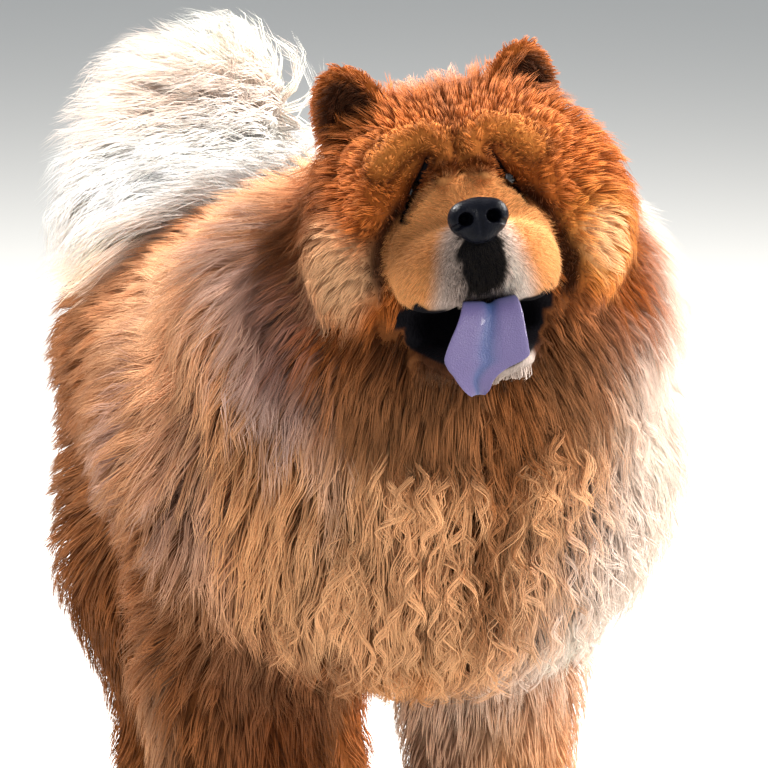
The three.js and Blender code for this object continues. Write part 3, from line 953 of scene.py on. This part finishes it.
def bare(points):
    """Where no hair grows: lips, mouth, eye slits, soles and under the nose leather."""
    head = to_head(points)
    nose = ball(head, (0, -0.131, -0.004), (0.020, 0.014, 0.0155))
    slits = np.minimum(eye_slit(head), eye_slit(mirrored(head)))
    return (lip_share(head) > 0.5) | (nose < 0.001) | (slits < 0.0006) | (points[:, 2] < 0.004)


# %% [markdown]
# One lock of a chow's coat is many hairs that start apart and end together. So guide hairs are grown first,
# stepping along the lie of the coat while they climb to the coat's outer surface. Each hair then follows
# the nearest guide and leans towards it on its way to the tip.

# %% Growing guides
GUIDE_STEPS = 9
ABOVE_SKIN = 0.0012


def grow_guides(roots, normals, seed, lift, unruly, proud):
    random = np.random.default_rng(seed)
    length = hair_length(roots) * random.uniform(0.75, 1.2, len(roots))
    depth = np.clip(-lookup(COAT, roots), 0.002, 0.05) * lift * random.uniform(0.7, 1.1, len(roots))
    swirl = random.normal(0, unruly, (len(roots), 3))
    spots = [roots]
    place = roots.copy()
    away = normals
    for step in range(GUIDE_STEPS):
        t = (step + 0.5) / GUIDE_STEPS
        along = lie(place) + swirl
        along = unit(along - away * (along * away).sum(1)[:, None])
        climb = np.clip(depth / length * 1.6 * (1 - t) ** 0.7, 0, 0.92)
        heading = along * np.sqrt(1 - climb ** 2)[:, None] + away * climb[:, None]
        place = place + heading * (length / GUIDE_STEPS)[:, None]
        away = outward(SKIN, place)
        under = np.maximum(0, ABOVE_SKIN - lookup(SKIN, place))
        place = place + away * under[:, None]
        over = np.maximum(0, lookup(outside, place) - proud)
        place = place - outward(outside, place) * over[:, None]
        spots.append(place)
    return np.stack(spots, 1), length


def along_guides(guides, t):
    """Places at t, from 0 at the root to 1 at the tip, on every guide."""
    place = t * GUIDE_STEPS
    low = min(int(place), GUIDE_STEPS - 1)
    return guides[:, low] + (guides[:, low + 1] - guides[:, low]) * (place - low)


# %% [markdown]
# A hair is a closed solid: a few three-sided rings that taper to a point, with a cap at the root. All of a
# piece's hairs are laid out in arrays and turned into one mesh at once, which takes a second instead of
# the minutes that adding them one by one would take.

# %% From paths to a mesh of hairs


def hair_faces(count, rings):
    """Corner numbers of every face of one hair's rings, tip and root cap, repeated for all hairs."""
    one = []
    for ring in range(rings - 1):
        for k in range(3):
            a, b = 3 * ring + k, 3 * ring + (k + 1) % 3
            one += [(a, b, b + 3), (a, b + 3, a + 3)]
    last = 3 * (rings - 1)
    one += [(last + k, last + (k + 1) % 3, 3 * rings) for k in range(3)]
    one.append((2, 1, 0))
    start = (np.arange(count) * (3 * rings + 1))[:, None, None]
    return (np.array(one)[None] + start).reshape(-1, 3)


UV_MARGIN = 0.03
UV_SHARE = 0.92


def unwrap(roots, normals):
    """A place on a flat layout of the skin's own shape: six sides of a box, in two rows of three."""
    low = roots.min(0)
    span = np.maximum(roots.max(0) - low, 1e-6)
    inside = (roots - low) / span
    axis = np.abs(normals).argmax(1)
    row = (normals[np.arange(len(roots)), axis] > 0).astype(float)
    others = np.array([[1, 2], [0, 2], [0, 1]])[axis]
    u = inside[np.arange(len(roots)), others[:, 0]]
    v = inside[np.arange(len(roots)), others[:, 1]]
    return np.stack([(axis + UV_MARGIN + UV_SHARE * u) / 3, (row + UV_MARGIN + UV_SHARE * v) / 2], 1)


PATCH = 0.003
FLATNESS = 0.35


def hair_mesh(name, paths, normals, widths, root_colours, tip_colours):
    """paths is hairs x (rings + 1) x 3, the last place being the tip."""
    count, stops, _ = paths.shape
    rings = stops - 1
    ahead = unit((paths[:, 1:] - paths[:, :-1]).reshape(-1, 3)).reshape(count, rings, 3)
    wide = np.cross(ahead, normals[:, None, :])
    wide /= np.maximum(np.linalg.norm(wide, axis=2), 1e-9)[..., None]
    high = np.cross(wide, ahead)
    t = np.arange(rings) / rings
    taper = (0.75 + 0.25 * np.sin(math.pi * np.minimum(t * 1.6, 1))) * (1 - t ** 2.2) ** 0.9
    half = 0.5 * widths[:, None] * taper[None]
    spots = np.empty((count, 3 * rings + 1, 3), np.float32)
    for k in range(3):
        angle = math.pi / 2 + k * 2 * math.pi / 3
        push = math.cos(angle) * wide + FLATNESS * math.sin(angle) * high
        spots[:, k:3 * rings:3] = paths[:, :rings] + push * half[..., None]
    spots[:, -1] = paths[:, -1]
    faces = hair_faces(count, rings)
    mesh = bpy.data.meshes.new(name)
    mesh.vertices.add(spots.shape[0] * spots.shape[1])
    mesh.vertices.foreach_set("co", spots.ravel())
    mesh.loops.add(faces.size)
    mesh.loops.foreach_set("vertex_index", faces.ravel().astype(np.int32))
    mesh.polygons.add(len(faces))
    mesh.polygons.foreach_set("loop_start", np.arange(0, faces.size, 3, dtype=np.int32))
    share = np.append(np.repeat(t, 3), 1.0)[None, :, None]
    colours = root_colours[:, None] + (tip_colours - root_colours)[:, None] * share ** 0.8
    set_tint(mesh, colours.reshape(-1, 3))
    centre = unwrap(paths[:, 0], normals)
    corner = np.stack([np.append(np.tile([0, 0.5, 1], rings), 0.5), share[0, :, 0]], 1) * PATCH
    flat = (centre[:, None] + corner[None]).reshape(-1, 2)[faces.ravel()]
    layer = mesh.uv_layers.new(name="OFBake")
    layer.data.foreach_set("uv", flat.astype(np.float32).ravel())
    mesh.update(calc_edges=True)
    mesh.shade_smooth()
    return mesh


# %% [markdown]
# Where hairs start is drawn at random over the skin, with the same number for each patch of the same
# size. The skin is first sorted into the pieces of the coat, because each piece is a mesh of its own.

# %% Sorting the skin into pieces of coat
skin_places, skin_corners = mesh_arrays(skin_mesh)
skin_places = skin_places.astype(float)
A, B, C = (skin_places[skin_corners[:, k]] for k in range(3))
face_normals = np.cross(B - A, C - A)
face_areas = np.linalg.norm(face_normals, axis=1) / 2
face_normals = unit(face_normals)
middles = (A + B + C) / 3
middle_head = to_head(middles)
middle_dog = middles - DOG_PLACE

near_head = np.linalg.norm(middle_head, axis=1)
is_ear = np.minimum(*(ear(to_ear(middle_head, side)) for side in (-1, 1))) < 0.004
is_head = (near_head < 0.150) & (middle_head[:, 1] < 0.075) & (middle_head[:, 2] > -0.135)
is_muzzle = is_head & (on_muzzle(middle_head) > 0.3) & (middle_head[:, 2] > -0.085)
is_tail = tail_share(middle_dog) > 0.5
is_leg = middle_dog[:, 2] < 0.235
is_front = middle_dog[:, 1] < 0
is_chest = (middle_dog[:, 1] < -0.24) & (middle_dog[:, 2] < 0.50)
is_left = middle_dog[:, 0] > 0.01
is_mane = middle_dog[:, 1] < -0.06

region = np.full(len(middles), "", dtype="U16")
region[:] = np.where(is_left, "flank_left", "flank_right")
region[is_mane & is_left] = "mane_left"
region[is_mane & ~is_left] = "mane_right"
region[middle_dog[:, 1] > 0.12] = "rump"
region[is_chest] = "chest"
region[is_leg & is_front] = "forelegs"
region[is_leg & ~is_front] = "hindlegs"
region[is_tail] = "tail"
region[is_head] = np.where(middle_head[is_head, 0] > 0, "head_left", "head_right")
region[is_muzzle] = "muzzle"
region[is_ear] = "ears"
faces_down = face_normals[:, 2] < -0.5
region[faces_down & (mouth_room(middle_head) < 0.016) & (middle_head[:, 2] > -0.08)] = "bare"
region[bare(middles)] = "bare"
for name in np.unique(region):
    print(name, round(float(face_areas[region == name].sum()), 4), "square metres")

# %% [markdown]
# Each piece of coat has its own count and width of hair, and how far its locks gather at the tip. Short
# fur gets fewer rings, which keeps the whole model light. The curls on the chest have the most rings, and
# wave from side to side.

# %% Growing the coat
CURL_MIDDLE = np.array([0.022, 0.375])
CURL_SPREAD = np.array([0.105, 0.120])
ROOT_DEPTH = 0.0008
OVER_FLOOR = 0.0015
TIP_FROM = 0.86
TIP_SPAN = 0.14
# Each row: name, hairs, rings, width, gather, lift, unruly, hairs per lock, curl, turns, proud, contrast
COAT_PIECES = [
    ("muzzle", 15000, 1, 0.0007, 0.10, 0.5, 0.07, 6, 0, 0, 0.002, 0.6),
    ("head_left", 13000, 2, 0.0009, 0.45, 1.15, 0.08, 8, 0.0006, 0.7, 0.006, 0.6),
    ("head_right", 13000, 2, 0.0009, 0.45, 1.15, 0.08, 8, 0.0006, 0.7, 0.006, 0.6),
    ("ears", 4500, 2, 0.0008, 0.30, 0.9, 0.12, 6, 0, 0, 0.006, 0.7),
    ("mane_left", 9000, 3, 0.0012, 0.50, 1.3, 0.12, 9, 0.0028, 1.0, 0.016, 0.7),
    ("mane_right", 9000, 3, 0.0012, 0.50, 1.2, 0.09, 9, 0.0028, 1.0, 0.008, 0.7),
    ("chest", 7200, 3, 0.0014, 0.55, 0.9, 0.10, 8, 0.0035, 1.0, 0.005, 0.8),
    ("curls", 1650, 17, 0.0015, 0.94, 1.15, 0.07, 6, 0.0052, 2.0, 0.012, 0.8),
    ("flank_left", 7500, 2, 0.0015, 0.50, 1.0, 0.10, 8, 0, 0, 0.006, 0.8),
    ("flank_right", 9500, 2, 0.0014, 0.50, 1.0, 0.10, 8, 0, 0, 0.006, 0.8),
    ("rump", 9500, 2, 0.0014, 0.50, 1.0, 0.10, 8, 0, 0, 0.006, 0.8),
    ("tail", 8000, 3, 0.0012, 0.50, 1.8, 0.15, 7, 0.0026, 0.7, 0.022, 0.1),
    ("forelegs", 9500, 2, 0.0013, 0.50, 0.9, 0.10, 7, 0, 0, 0.004, 0.8),
    ("hindlegs", 8000, 2, 0.0014, 0.50, 0.9, 0.10, 7, 0, 0, 0.004, 0.8),
]
patches = {name: np.flatnonzero(region == name) for name in np.unique(region)}
from_middle = (middle_dog[patches["chest"]][:, [0, 2]] - CURL_MIDDLE) / CURL_SPREAD
edge = 1 + 0.3 * waves(middles[patches["chest"]], 51, 0.03)
patches["curls"] = patches["chest"][np.linalg.norm(from_middle, axis=1) < edge]


def scatter(faces, count, random):
    """Evenly random places on these faces of the skin, with the faces' normals."""
    edges = np.cumsum(face_areas[faces])
    picks = (np.arange(count) + random.uniform(0, 1, count)) / count * edges[-1]
    chosen = faces[np.minimum(np.searchsorted(edges, picks), len(faces) - 1)]
    u, v = random.uniform(0, 1, (2, count))
    flip = u + v > 1
    u = np.where(flip, 1 - u, u)
    v = np.where(flip, 1 - v, v)
    spots = A[chosen] + u[:, None] * (B - A)[chosen] + v[:, None] * (C - A)[chosen]
    return spots, face_normals[chosen]


def nearest(places, targets):
    tree = kdtree.KDTree(len(targets))
    for i, place in enumerate(targets):
        tree.insert(place, i)
    tree.balance()
    return np.array([tree.find(place)[1] for place in places])


def curled(stops, leaders, mine, normals, size, turns, random):
    """Waves the paths from side to side as flat curls, each lock with its own size, turns and start."""
    start = random.uniform(0, 2 * math.pi, leaders)[mine]
    wide = size * random.uniform(0.5, 1.4, leaders)[mine]
    count = turns * random.uniform(0.7, 1.3, leaders)[mine] * random.choice([-1, 1], leaders)[mine]
    ahead = unit(stops[-1] - stops[0])
    one = unit(np.cross(ahead, normals))
    two = 0.45 * np.cross(ahead, one)
    for i, spot in enumerate(stops):
        t = i / (len(stops) - 1)
        angle = start + 2 * math.pi * count * t
        reach = wide * min(1, 2.5 * t)
        turn = (np.cos(angle)[:, None] * one + np.sin(angle)[:, None] * two) * reach[:, None]
        stops[i] = spot + turn
    return stops


def coat_piece(row, seed):
    name, count, rings, width, gather, lift, unruly, per_lock, curl, turns, proud, contrast = row
    random = np.random.default_rng(seed)
    roots, normals = scatter(patches[name], count, random)
    leaders = random.permutation(count)[:max(1, count // per_lock)]
    guides, length = grow_guides(roots[leaders], normals[leaders], seed + 50, lift, unruly, proud)
    mine = nearest(roots, roots[leaders])
    aside = roots - roots[leaders][mine]
    stray = random.normal(0, (1 - gather) * 0.6 * unruly, (count, 3)) * length[mine][:, None]
    short = random.uniform(0.72, 1.0, count)
    gather_power = 0.4 if name == "curls" else 1.2
    stops = []
    for stop in range(rings + 1):
        t = stop / rings
        low = along_guides(guides, t * TIP_FROM)[mine]
        reached = ((short - TIP_FROM) / TIP_SPAN * 0.5 + 0.5)[:, None]
        spot = low + (along_guides(guides, t)[mine] - low) * reached
        stops.append(spot + aside * (1 - gather * t ** gather_power) + stray * t ** 1.5)
    if curl:
        stops = curled(stops, len(leaders), mine, normals[leaders][mine], curl, turns, random)
    stops[0] = roots - normals * ROOT_DEPTH
    paths = np.stack(stops, 1)
    for stop in range(1, rings + 1):
        spot = paths[:, stop]
        over = np.clip(lookup(outside, spot) - proud - 0.002, 0, 0.03)
        paths[:, stop] = spot - outward(outside, spot) * over[:, None]
    paths[:, :, 2] = np.maximum(paths[:, :, 2], OVER_FLOOR)
    reach = np.linalg.norm(paths[:, -1] - roots, axis=1)
    wild = reach > 1.35 * length[mine] + 0.006
    paths[wild] = roots[wild][:, None] + (paths[wild] - roots[wild][:, None]) * 0.1
    colours = markings(roots)
    # Roots are painted darker as shade deep in the coat and tips lighter as painted highlight; contrast sets
    # how far, and a random tone per lock and per hair comes on top
    shade = random.normal(1, 0.15 * contrast, len(leaders))[mine] * random.normal(1, 0.10, count)
    root_colours = np.clip(colours ** 1.12 * ((1 - 0.5 * contrast) * shade)[:, None], 0.003, 1)
    tip_colours = np.maximum(colours ** 0.94 * ((1 + 0.25 * contrast) * shade)[:, None], 0.003)
    tip_colours *= np.minimum(1, 0.96 / tip_colours.max(1))[:, None]
    widths = width * random.uniform(0.7, 1.25, count)
    mesh = hair_mesh("coat_" + name, paths, normals, widths, root_colours, tip_colours)
    add_piece("coat_" + name, mesh, HAIR)
    print("coat", name, count, "hairs", len(mesh.polygons), "triangles,", int(wild.sum()), "held back")
    return len(mesh.polygons)


total = 0
total = sum(coat_piece(row, 100 + i) for i, row in enumerate(COAT_PIECES))
print("the coat has", total, "triangles")

# %% [markdown]
# The nose leather is a small soft shape of its own: a rounded pad with two wings, a nostril in each with a
# slit that runs outwards, and a groove down the middle. It is modelled by distance on a fine grid.

# %% Nose
NOSE_CELL = 0.0007
NOSE_LOW = np.array([-0.026, -0.152, -0.026])
NOSE_HIGH = np.array([0.026, -0.108, 0.018])


def nose_distance(head):
    shape = ball(head, (0, -0.1295, -0.004), (0.0195, 0.0125, 0.0145))
    for side in (head, mirrored(head)):
        shape = melt(shape, ball(side, (-0.0105, -0.1335, -0.0025), (0.0098, 0.0095, 0.0105)), 0.004)
    shape = melt(shape, ball(head, (0, -0.1325, -0.013), (0.0105, 0.0085, 0.0075)), 0.004)
    for side in (head, mirrored(head)):
        shape = carve(shape, ball(side, (-0.0095, -0.1400, -0.0030), (0.0050, 0.0125, 0.0048)), 0.0015)
        slit = rod(side, (-0.0110, -0.1435, -0.0055), (-0.0200, -0.1330, -0.0095), 0.0020)
        shape = carve(shape, slit, 0.0015)
    return carve(shape, rod(head, (0, -0.1430, 0.003), (0, -0.1410, -0.020), 0.0013), 0.0016)


def fine_shape(distance, low, high, cell):
    size = np.ceil((high - low) / cell).astype(int)
    index = np.stack(np.meshgrid(*[np.arange(n) for n in size], indexing="ij"), -1).reshape(-1, 3)
    values = distance(index * cell + low).reshape(size).astype(np.float32)
    grid = openvdb.FloatGrid(float(values.max()))
    grid.copyFromArray(values)
    grid.transform = openvdb.createLinearTransform(cell)
    places, triangles, quads = grid.convertToPolygons(0.0, 0.0)
    return places + low, triangles, quads


def closed_mesh(name, places, faces):
    mesh = bpy.data.meshes.new(name)
    mesh.from_pydata([tuple(p) for p in places], [], faces)
    shape = bmesh.new()
    shape.from_mesh(mesh)
    bmesh.ops.recalc_face_normals(shape, faces=shape.faces[:])
    shape.to_mesh(mesh)
    shape.free()
    mesh.shade_smooth()
    return mesh


def nose_material():
    made, nodes, links, shader = material("nose_leather", 0.30, 0.06, coat=0.03)
    pebbles = new_node(nodes, "TexVoronoi", [("Scale", 900)])
    bump = new_node(nodes, "Bump", [("Strength", 0.45), ("Distance", 0.0006)])
    place = new_node(nodes, "TexCoord")
    links.new(place.outputs["Object"], pebbles.inputs["Vector"])
    links.new(pebbles.outputs["Distance"], bump.inputs["Height"])
    toned(nodes, links, shader, pebbles.outputs["Distance"], (0.004, 0.005, 0.009), (0.003, 0.003, 0.005))
    links.new(bump.outputs["Normal"], shader.inputs["Normal"])
    return made


places, triangles, quads = fine_shape(nose_distance, NOSE_LOW, NOSE_HIGH, NOSE_CELL)
nose_faces = [list(f) for f in triangles] + [list(f) for f in quads]
nose_mesh = closed_mesh("nose_leather", from_head(places), nose_faces)
nose = add_piece("nose_leather", nose_mesh, nose_material())
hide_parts("nose")
print("nose:", len(nose_mesh.polygons), "faces")

# %% [markdown]
# A chow's tongue is blue-violet. It comes out between the flews, arches over the lower lip without touching
# it and hangs in front of it, wider below, with a groove down its middle and a narrow tip on the dog's
# right. It is swept along its middle line as a closed sheet with rounded edges.

# %% Tongue
# Each row is height, place front to back, right edge and left edge, all in the head's frame
TONGUE_ROWS = np.array([
    [-0.0820, -0.0400, -0.012, 0.016],
    [-0.0760, -0.0700, -0.012, 0.018],
    [-0.0640, -0.0960, -0.014, 0.020],
    [-0.0630, -0.1120, -0.016, 0.021],
    [-0.0700, -0.1235, -0.021, 0.0215],
    [-0.0830, -0.1285, -0.030, 0.0215],
    [-0.0940, -0.1305, -0.036, 0.0215],
    [-0.1000, -0.1310, -0.035, 0.0200],
    [-0.1050, -0.1305, -0.032, 0.0060],
    [-0.1110, -0.1300, -0.029, -0.0040],
    [-0.1170, -0.1290, -0.025, -0.0080],
    [-0.1205, -0.1280, -0.021, -0.0120],
])
TONGUE_THICK = 0.0048
LONG_STEPS = 44
CROSS_STEPS = 20


def smooth_rows(rows, count):
    """Values that run smoothly through the rows, by cubic pieces."""
    ends = np.vstack([2 * rows[0] - rows[1], rows, 2 * rows[-1] - rows[-2]])
    found = []
    for t in np.linspace(0, len(rows) - 1, count):
        i = min(int(t), len(rows) - 2)
        f = t - i
        a, b, c, d = ends[i:i + 4]
        found.append(b + 0.5 * f * (c - a + f * (2 * a - 5 * b + 4 * c - d + f * (3 * (b - c) + d - a))))
    return np.array(found)


def tongue_sheet():
    rows = smooth_rows(TONGUE_ROWS, LONG_STEPS)
    middle = np.stack([(rows[:, 2] + rows[:, 3]) / 2, rows[:, 1], rows[:, 0]], 1)
    half = (rows[:, 3] - rows[:, 2]) / 2
    run = np.gradient(middle * [0, 1, 1], axis=0)
    out = unit(np.cross(run, np.array([1.0, 0, 0])))
    across = np.cos(np.linspace(math.pi, 0, CROSS_STEPS))
    groove = -0.0026 * np.exp(-(across / 0.16) ** 2)
    cup = 0.0035 * across ** 2
    edge = np.sqrt(np.maximum(0, 1 - across ** 2))
    places = []
    for sign in (1, -1):
        for i in range(LONG_STEPS):
            end = math.sqrt(max(0.0, 1 - (i / (LONG_STEPS - 1)) ** 8)) if i else 0.6
            fade = 1 - (i / (LONG_STEPS - 1)) ** 4
            lift = (groove if sign > 0 else 0 * groove) * fade + cup
            thick = sign * 0.5 * TONGUE_THICK * edge * max(end, 0.25)
            row = middle[i] + np.outer(across * half[i], [1, 0, 0]) + np.outer(lift + thick, out[i])
            places.append(row)
    return np.concatenate(places), across


def tongue_faces():
    side = LONG_STEPS * CROSS_STEPS
    faces = []
    for i in range(LONG_STEPS - 1):
        for j in range(CROSS_STEPS - 1):
            a = i * CROSS_STEPS + j
            faces.append((a, a + 1, a + CROSS_STEPS + 1, a + CROSS_STEPS))
            faces.append((side + a, side + a + CROSS_STEPS, side + a + CROSS_STEPS + 1, side + a + 1))
    for i in (0, LONG_STEPS - 1):
        for j in range(CROSS_STEPS - 1):
            a = i * CROSS_STEPS + j
            faces.append((a, side + a, side + a + 1, a + 1))
    for j in (0, CROSS_STEPS - 1):
        for i in range(LONG_STEPS - 1):
            a = i * CROSS_STEPS + j
            faces.append((a, a + CROSS_STEPS, side + a + CROSS_STEPS, side + a))
    return faces


def tongue_material():
    made, nodes, links, shader = material("tongue_flesh", 0.34, 0.40, coat=0.25)
    tinted(nodes, links, shader, 0.12, 500)
    bumped(nodes, links, shader, 1000, 0.8, 0.0009)
    return made


tongue_places, across = tongue_sheet()
tongue_mesh = closed_mesh("tongue_flesh", from_head(tongue_places), tongue_faces())
LILAC = np.array([0.125, 0.098, 0.225])
BLUE = np.array([0.045, 0.080, 0.205])
in_groove = np.exp(-(np.tile(across, 2 * LONG_STEPS) / 0.20) ** 2)
deep = np.repeat(np.tile(np.linspace(1, 0, LONG_STEPS), 2), CROSS_STEPS)
blueness = np.clip(0.85 * in_groove + 0.9 * ease(deep, 0.62, 0.85), 0, 1)
tongue_colours = LILAC + (BLUE - LILAC) * blueness[:, None]
set_tint(tongue_mesh, tongue_colours)
bm_tongue = bmesh.new()
bm_tongue.from_mesh(tongue_mesh)
bmesh.ops.remove_doubles(bm_tongue, verts=bm_tongue.verts[:], dist=1e-6)
bm_tongue.to_mesh(tongue_mesh)
bm_tongue.free()
tongue = add_piece("tongue_flesh", tongue_mesh, tongue_material())
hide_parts("tongue")
print("tongue:", len(tongue_mesh.polygons), "faces")

# %% [markdown]
# The eyeballs sit deep behind the folds, where only a dark wet slit of them shows. The iris is a very dark
# brown and the cornea bulges a little, which gives the glint.

# %% Eyes
EYE_DARK = (0.010, 0.005, 0.003)
IRIS_BROWN = (0.040, 0.015, 0.006)
EYE_WHITE = (0.060, 0.035, 0.025)


def eyeball(side):
    shape = bmesh.new()
    bmesh.ops.create_uvsphere(shape, u_segments=40, v_segments=24, radius=EYE_RADIUS)
    gaze = np.array([0.12 * side, -0.98, -0.05])
    gaze /= np.linalg.norm(gaze)
    colours = []
    for vert in shape.verts:
        place = np.array(vert.co)
        facing = place @ gaze / EYE_RADIUS
        vert.co = Vector(place * (1 + 0.07 * ease(facing, 0.80, 1.0)))
        iris = ease(facing, 0.74, 0.79)
        pupil = ease(facing, 0.94, 0.96)
        colour = np.array(EYE_WHITE) + (np.array(IRIS_BROWN) - EYE_WHITE) * iris
        colours.append(colour + (np.array(EYE_DARK) - colour) * pupil)
    mesh = bpy.data.meshes.new("eyeball")
    shape.to_mesh(mesh)
    shape.free()
    places, _ = mesh_arrays(mesh)
    centre = np.array([side * EYE_X, EYE_Y, EYE_Z])
    mesh.vertices.foreach_set("co", from_head(places + centre).astype(np.float32).ravel())
    set_tint(mesh, np.array(colours))
    mesh.shade_smooth()
    return mesh


def eye_material():
    made, nodes, links, shader = material("wet_eye", 0.06, 0.6, coat=0.8)
    tinted(nodes, links, shader, 0.1, 600)
    return made


WET_EYE = eye_material()
for side, word in ((-1, "right"), (1, "left")):
    eye = add_piece("eyeball_" + word, eyeball(side), WET_EYE)
    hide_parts("eye_" + word)
print("eyes made, radius", EYE_RADIUS)

# %% [markdown]
# Each claw is a short dark horn, round in section, that curves forward and down from its toe. It takes its
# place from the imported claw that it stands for.

# %% Claws
CLAW_RINGS = 9
CLAW_SIDES = 10


def claw_mesh(low, high):
    x = (low[0] + high[0]) / 2
    places = []
    for i in range(CLAW_RINGS):
        t = i / (CLAW_RINGS - 1)
        y = high[1] + (low[1] - high[1]) * t
        z = high[2] - 0.0042 - (high[2] - low[2] - 0.0055) * t ** 1.7
        size = 0.0031 * (1 - t ** 2.2) + 0.0004
        for k in range(CLAW_SIDES):
            angle = 2 * math.pi * k / CLAW_SIDES
            places.append((x + size * math.cos(angle), y, z + 1.1 * size * math.sin(angle)))
    faces = [tuple(range(CLAW_SIDES)), tuple(range((CLAW_RINGS - 1) * CLAW_SIDES, CLAW_RINGS * CLAW_SIDES))]
    for i in range(CLAW_RINGS - 1):
        for k in range(CLAW_SIDES):
            a = i * CLAW_SIDES + k
            b = i * CLAW_SIDES + (k + 1) % CLAW_SIDES
            faces.append((a, b, b + CLAW_SIDES, a + CLAW_SIDES))
    return closed_mesh("claw", places, faces)


def claw_material():
    made, nodes, links, shader = material("claw_horn", 0.35, 0.5, coat=0.2)
    bumped(nodes, links, shader, 300, 0.3, 0.0004, (6, 0.6, 6))
    noise = new_node(nodes, "TexNoise", [("Scale", 240)])
    toned(nodes, links, shader, noise.outputs["Fac"], (0.010, 0.008, 0.007), (0.060, 0.045, 0.036))
    return made


CLAW_HORN = claw_material()
claw_nodes = [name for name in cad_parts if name.startswith("claw_")]
for name in claw_nodes:
    horn = add_piece(name.replace("claw_", "horn_"), claw_mesh(*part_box(name)), CLAW_HORN)
    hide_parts(name)
print(len(claw_nodes), "claws")

# %% [markdown]
# A plain pale floor, soft light from all round, a large key light in front and above, and a strong light
# from behind and above on the dog's left, which gives the mane and the plume their bright edge.

# %% Floor and light
FLOOR_SIZE = 12
FLOOR_COLOUR = (0.60, 0.60, 0.58)
LIT_PLACE = Vector((0, -0.1, 0.4))


def floor_material():
    made, nodes, links, shader = material("pale_floor", 0.8, 0.2)
    noise = new_node(nodes, "TexNoise", [("Scale", 3)])
    darker = [0.97 * part for part in FLOOR_COLOUR]
    toned(nodes, links, shader, noise.outputs["Fac"], darker, FLOOR_COLOUR)
    return made


half = FLOOR_SIZE / 2
floor_corners = [(-half, -half, 0), (half, -half, 0), (half, half, 0), (-half, half, 0)]
floor_mesh = bpy.data.meshes.new("floor")
floor_mesh.from_pydata(floor_corners, [], [(0, 1, 2, 3)])
floor_mesh.materials.append(floor_material())
floor = bpy.data.objects.new("floor", floor_mesh)
bpy.context.scene.collection.objects.link(floor)

# Each row: name, place, size, power and colour
LAMPS = [
    ("key", (1.9, -2.2, 2.5), 1.6, 130, (1.0, 0.96, 0.90)),
    ("fill", (-2.2, -2.4, 1.4), 2.2, 17, (0.96, 0.98, 1.0)),
    ("rim", (2.2, 0.4, 1.8), 1.0, 190, (1.0, 0.95, 0.90)),
    ("back", (-1.2, 2.0, 2.6), 1.2, 150, (1.0, 0.96, 0.92)),
    ("plume", (-0.5, 0.7, 1.7), 0.6, 36, (1.0, 0.98, 0.95)),
]


def lamp(name, place, size, power, colour):
    data = bpy.data.lights.new(name, "AREA")
    data.shape = "DISK"
    data.size = size
    data.energy = power
    data.color = colour
    light = bpy.data.objects.new(name, data)
    light.location = place
    light.rotation_euler = (LIT_PLACE - Vector(place)).to_track_quat("-Z", "Y").to_euler()
    bpy.context.scene.collection.objects.link(light)


for row in LAMPS:
    lamp(*row)
world = bpy.data.worlds.new("studio")
world.use_nodes = True
sky = world.node_tree.nodes["Background"]
sky.inputs["Color"].default_value = (0.86, 0.90, 0.95, 1)
sky.inputs["Strength"].default_value = 0.62
bpy.context.scene.world = world
bpy.context.scene.view_settings.view_transform = "Standard"
print(len(LAMPS), "lamps")
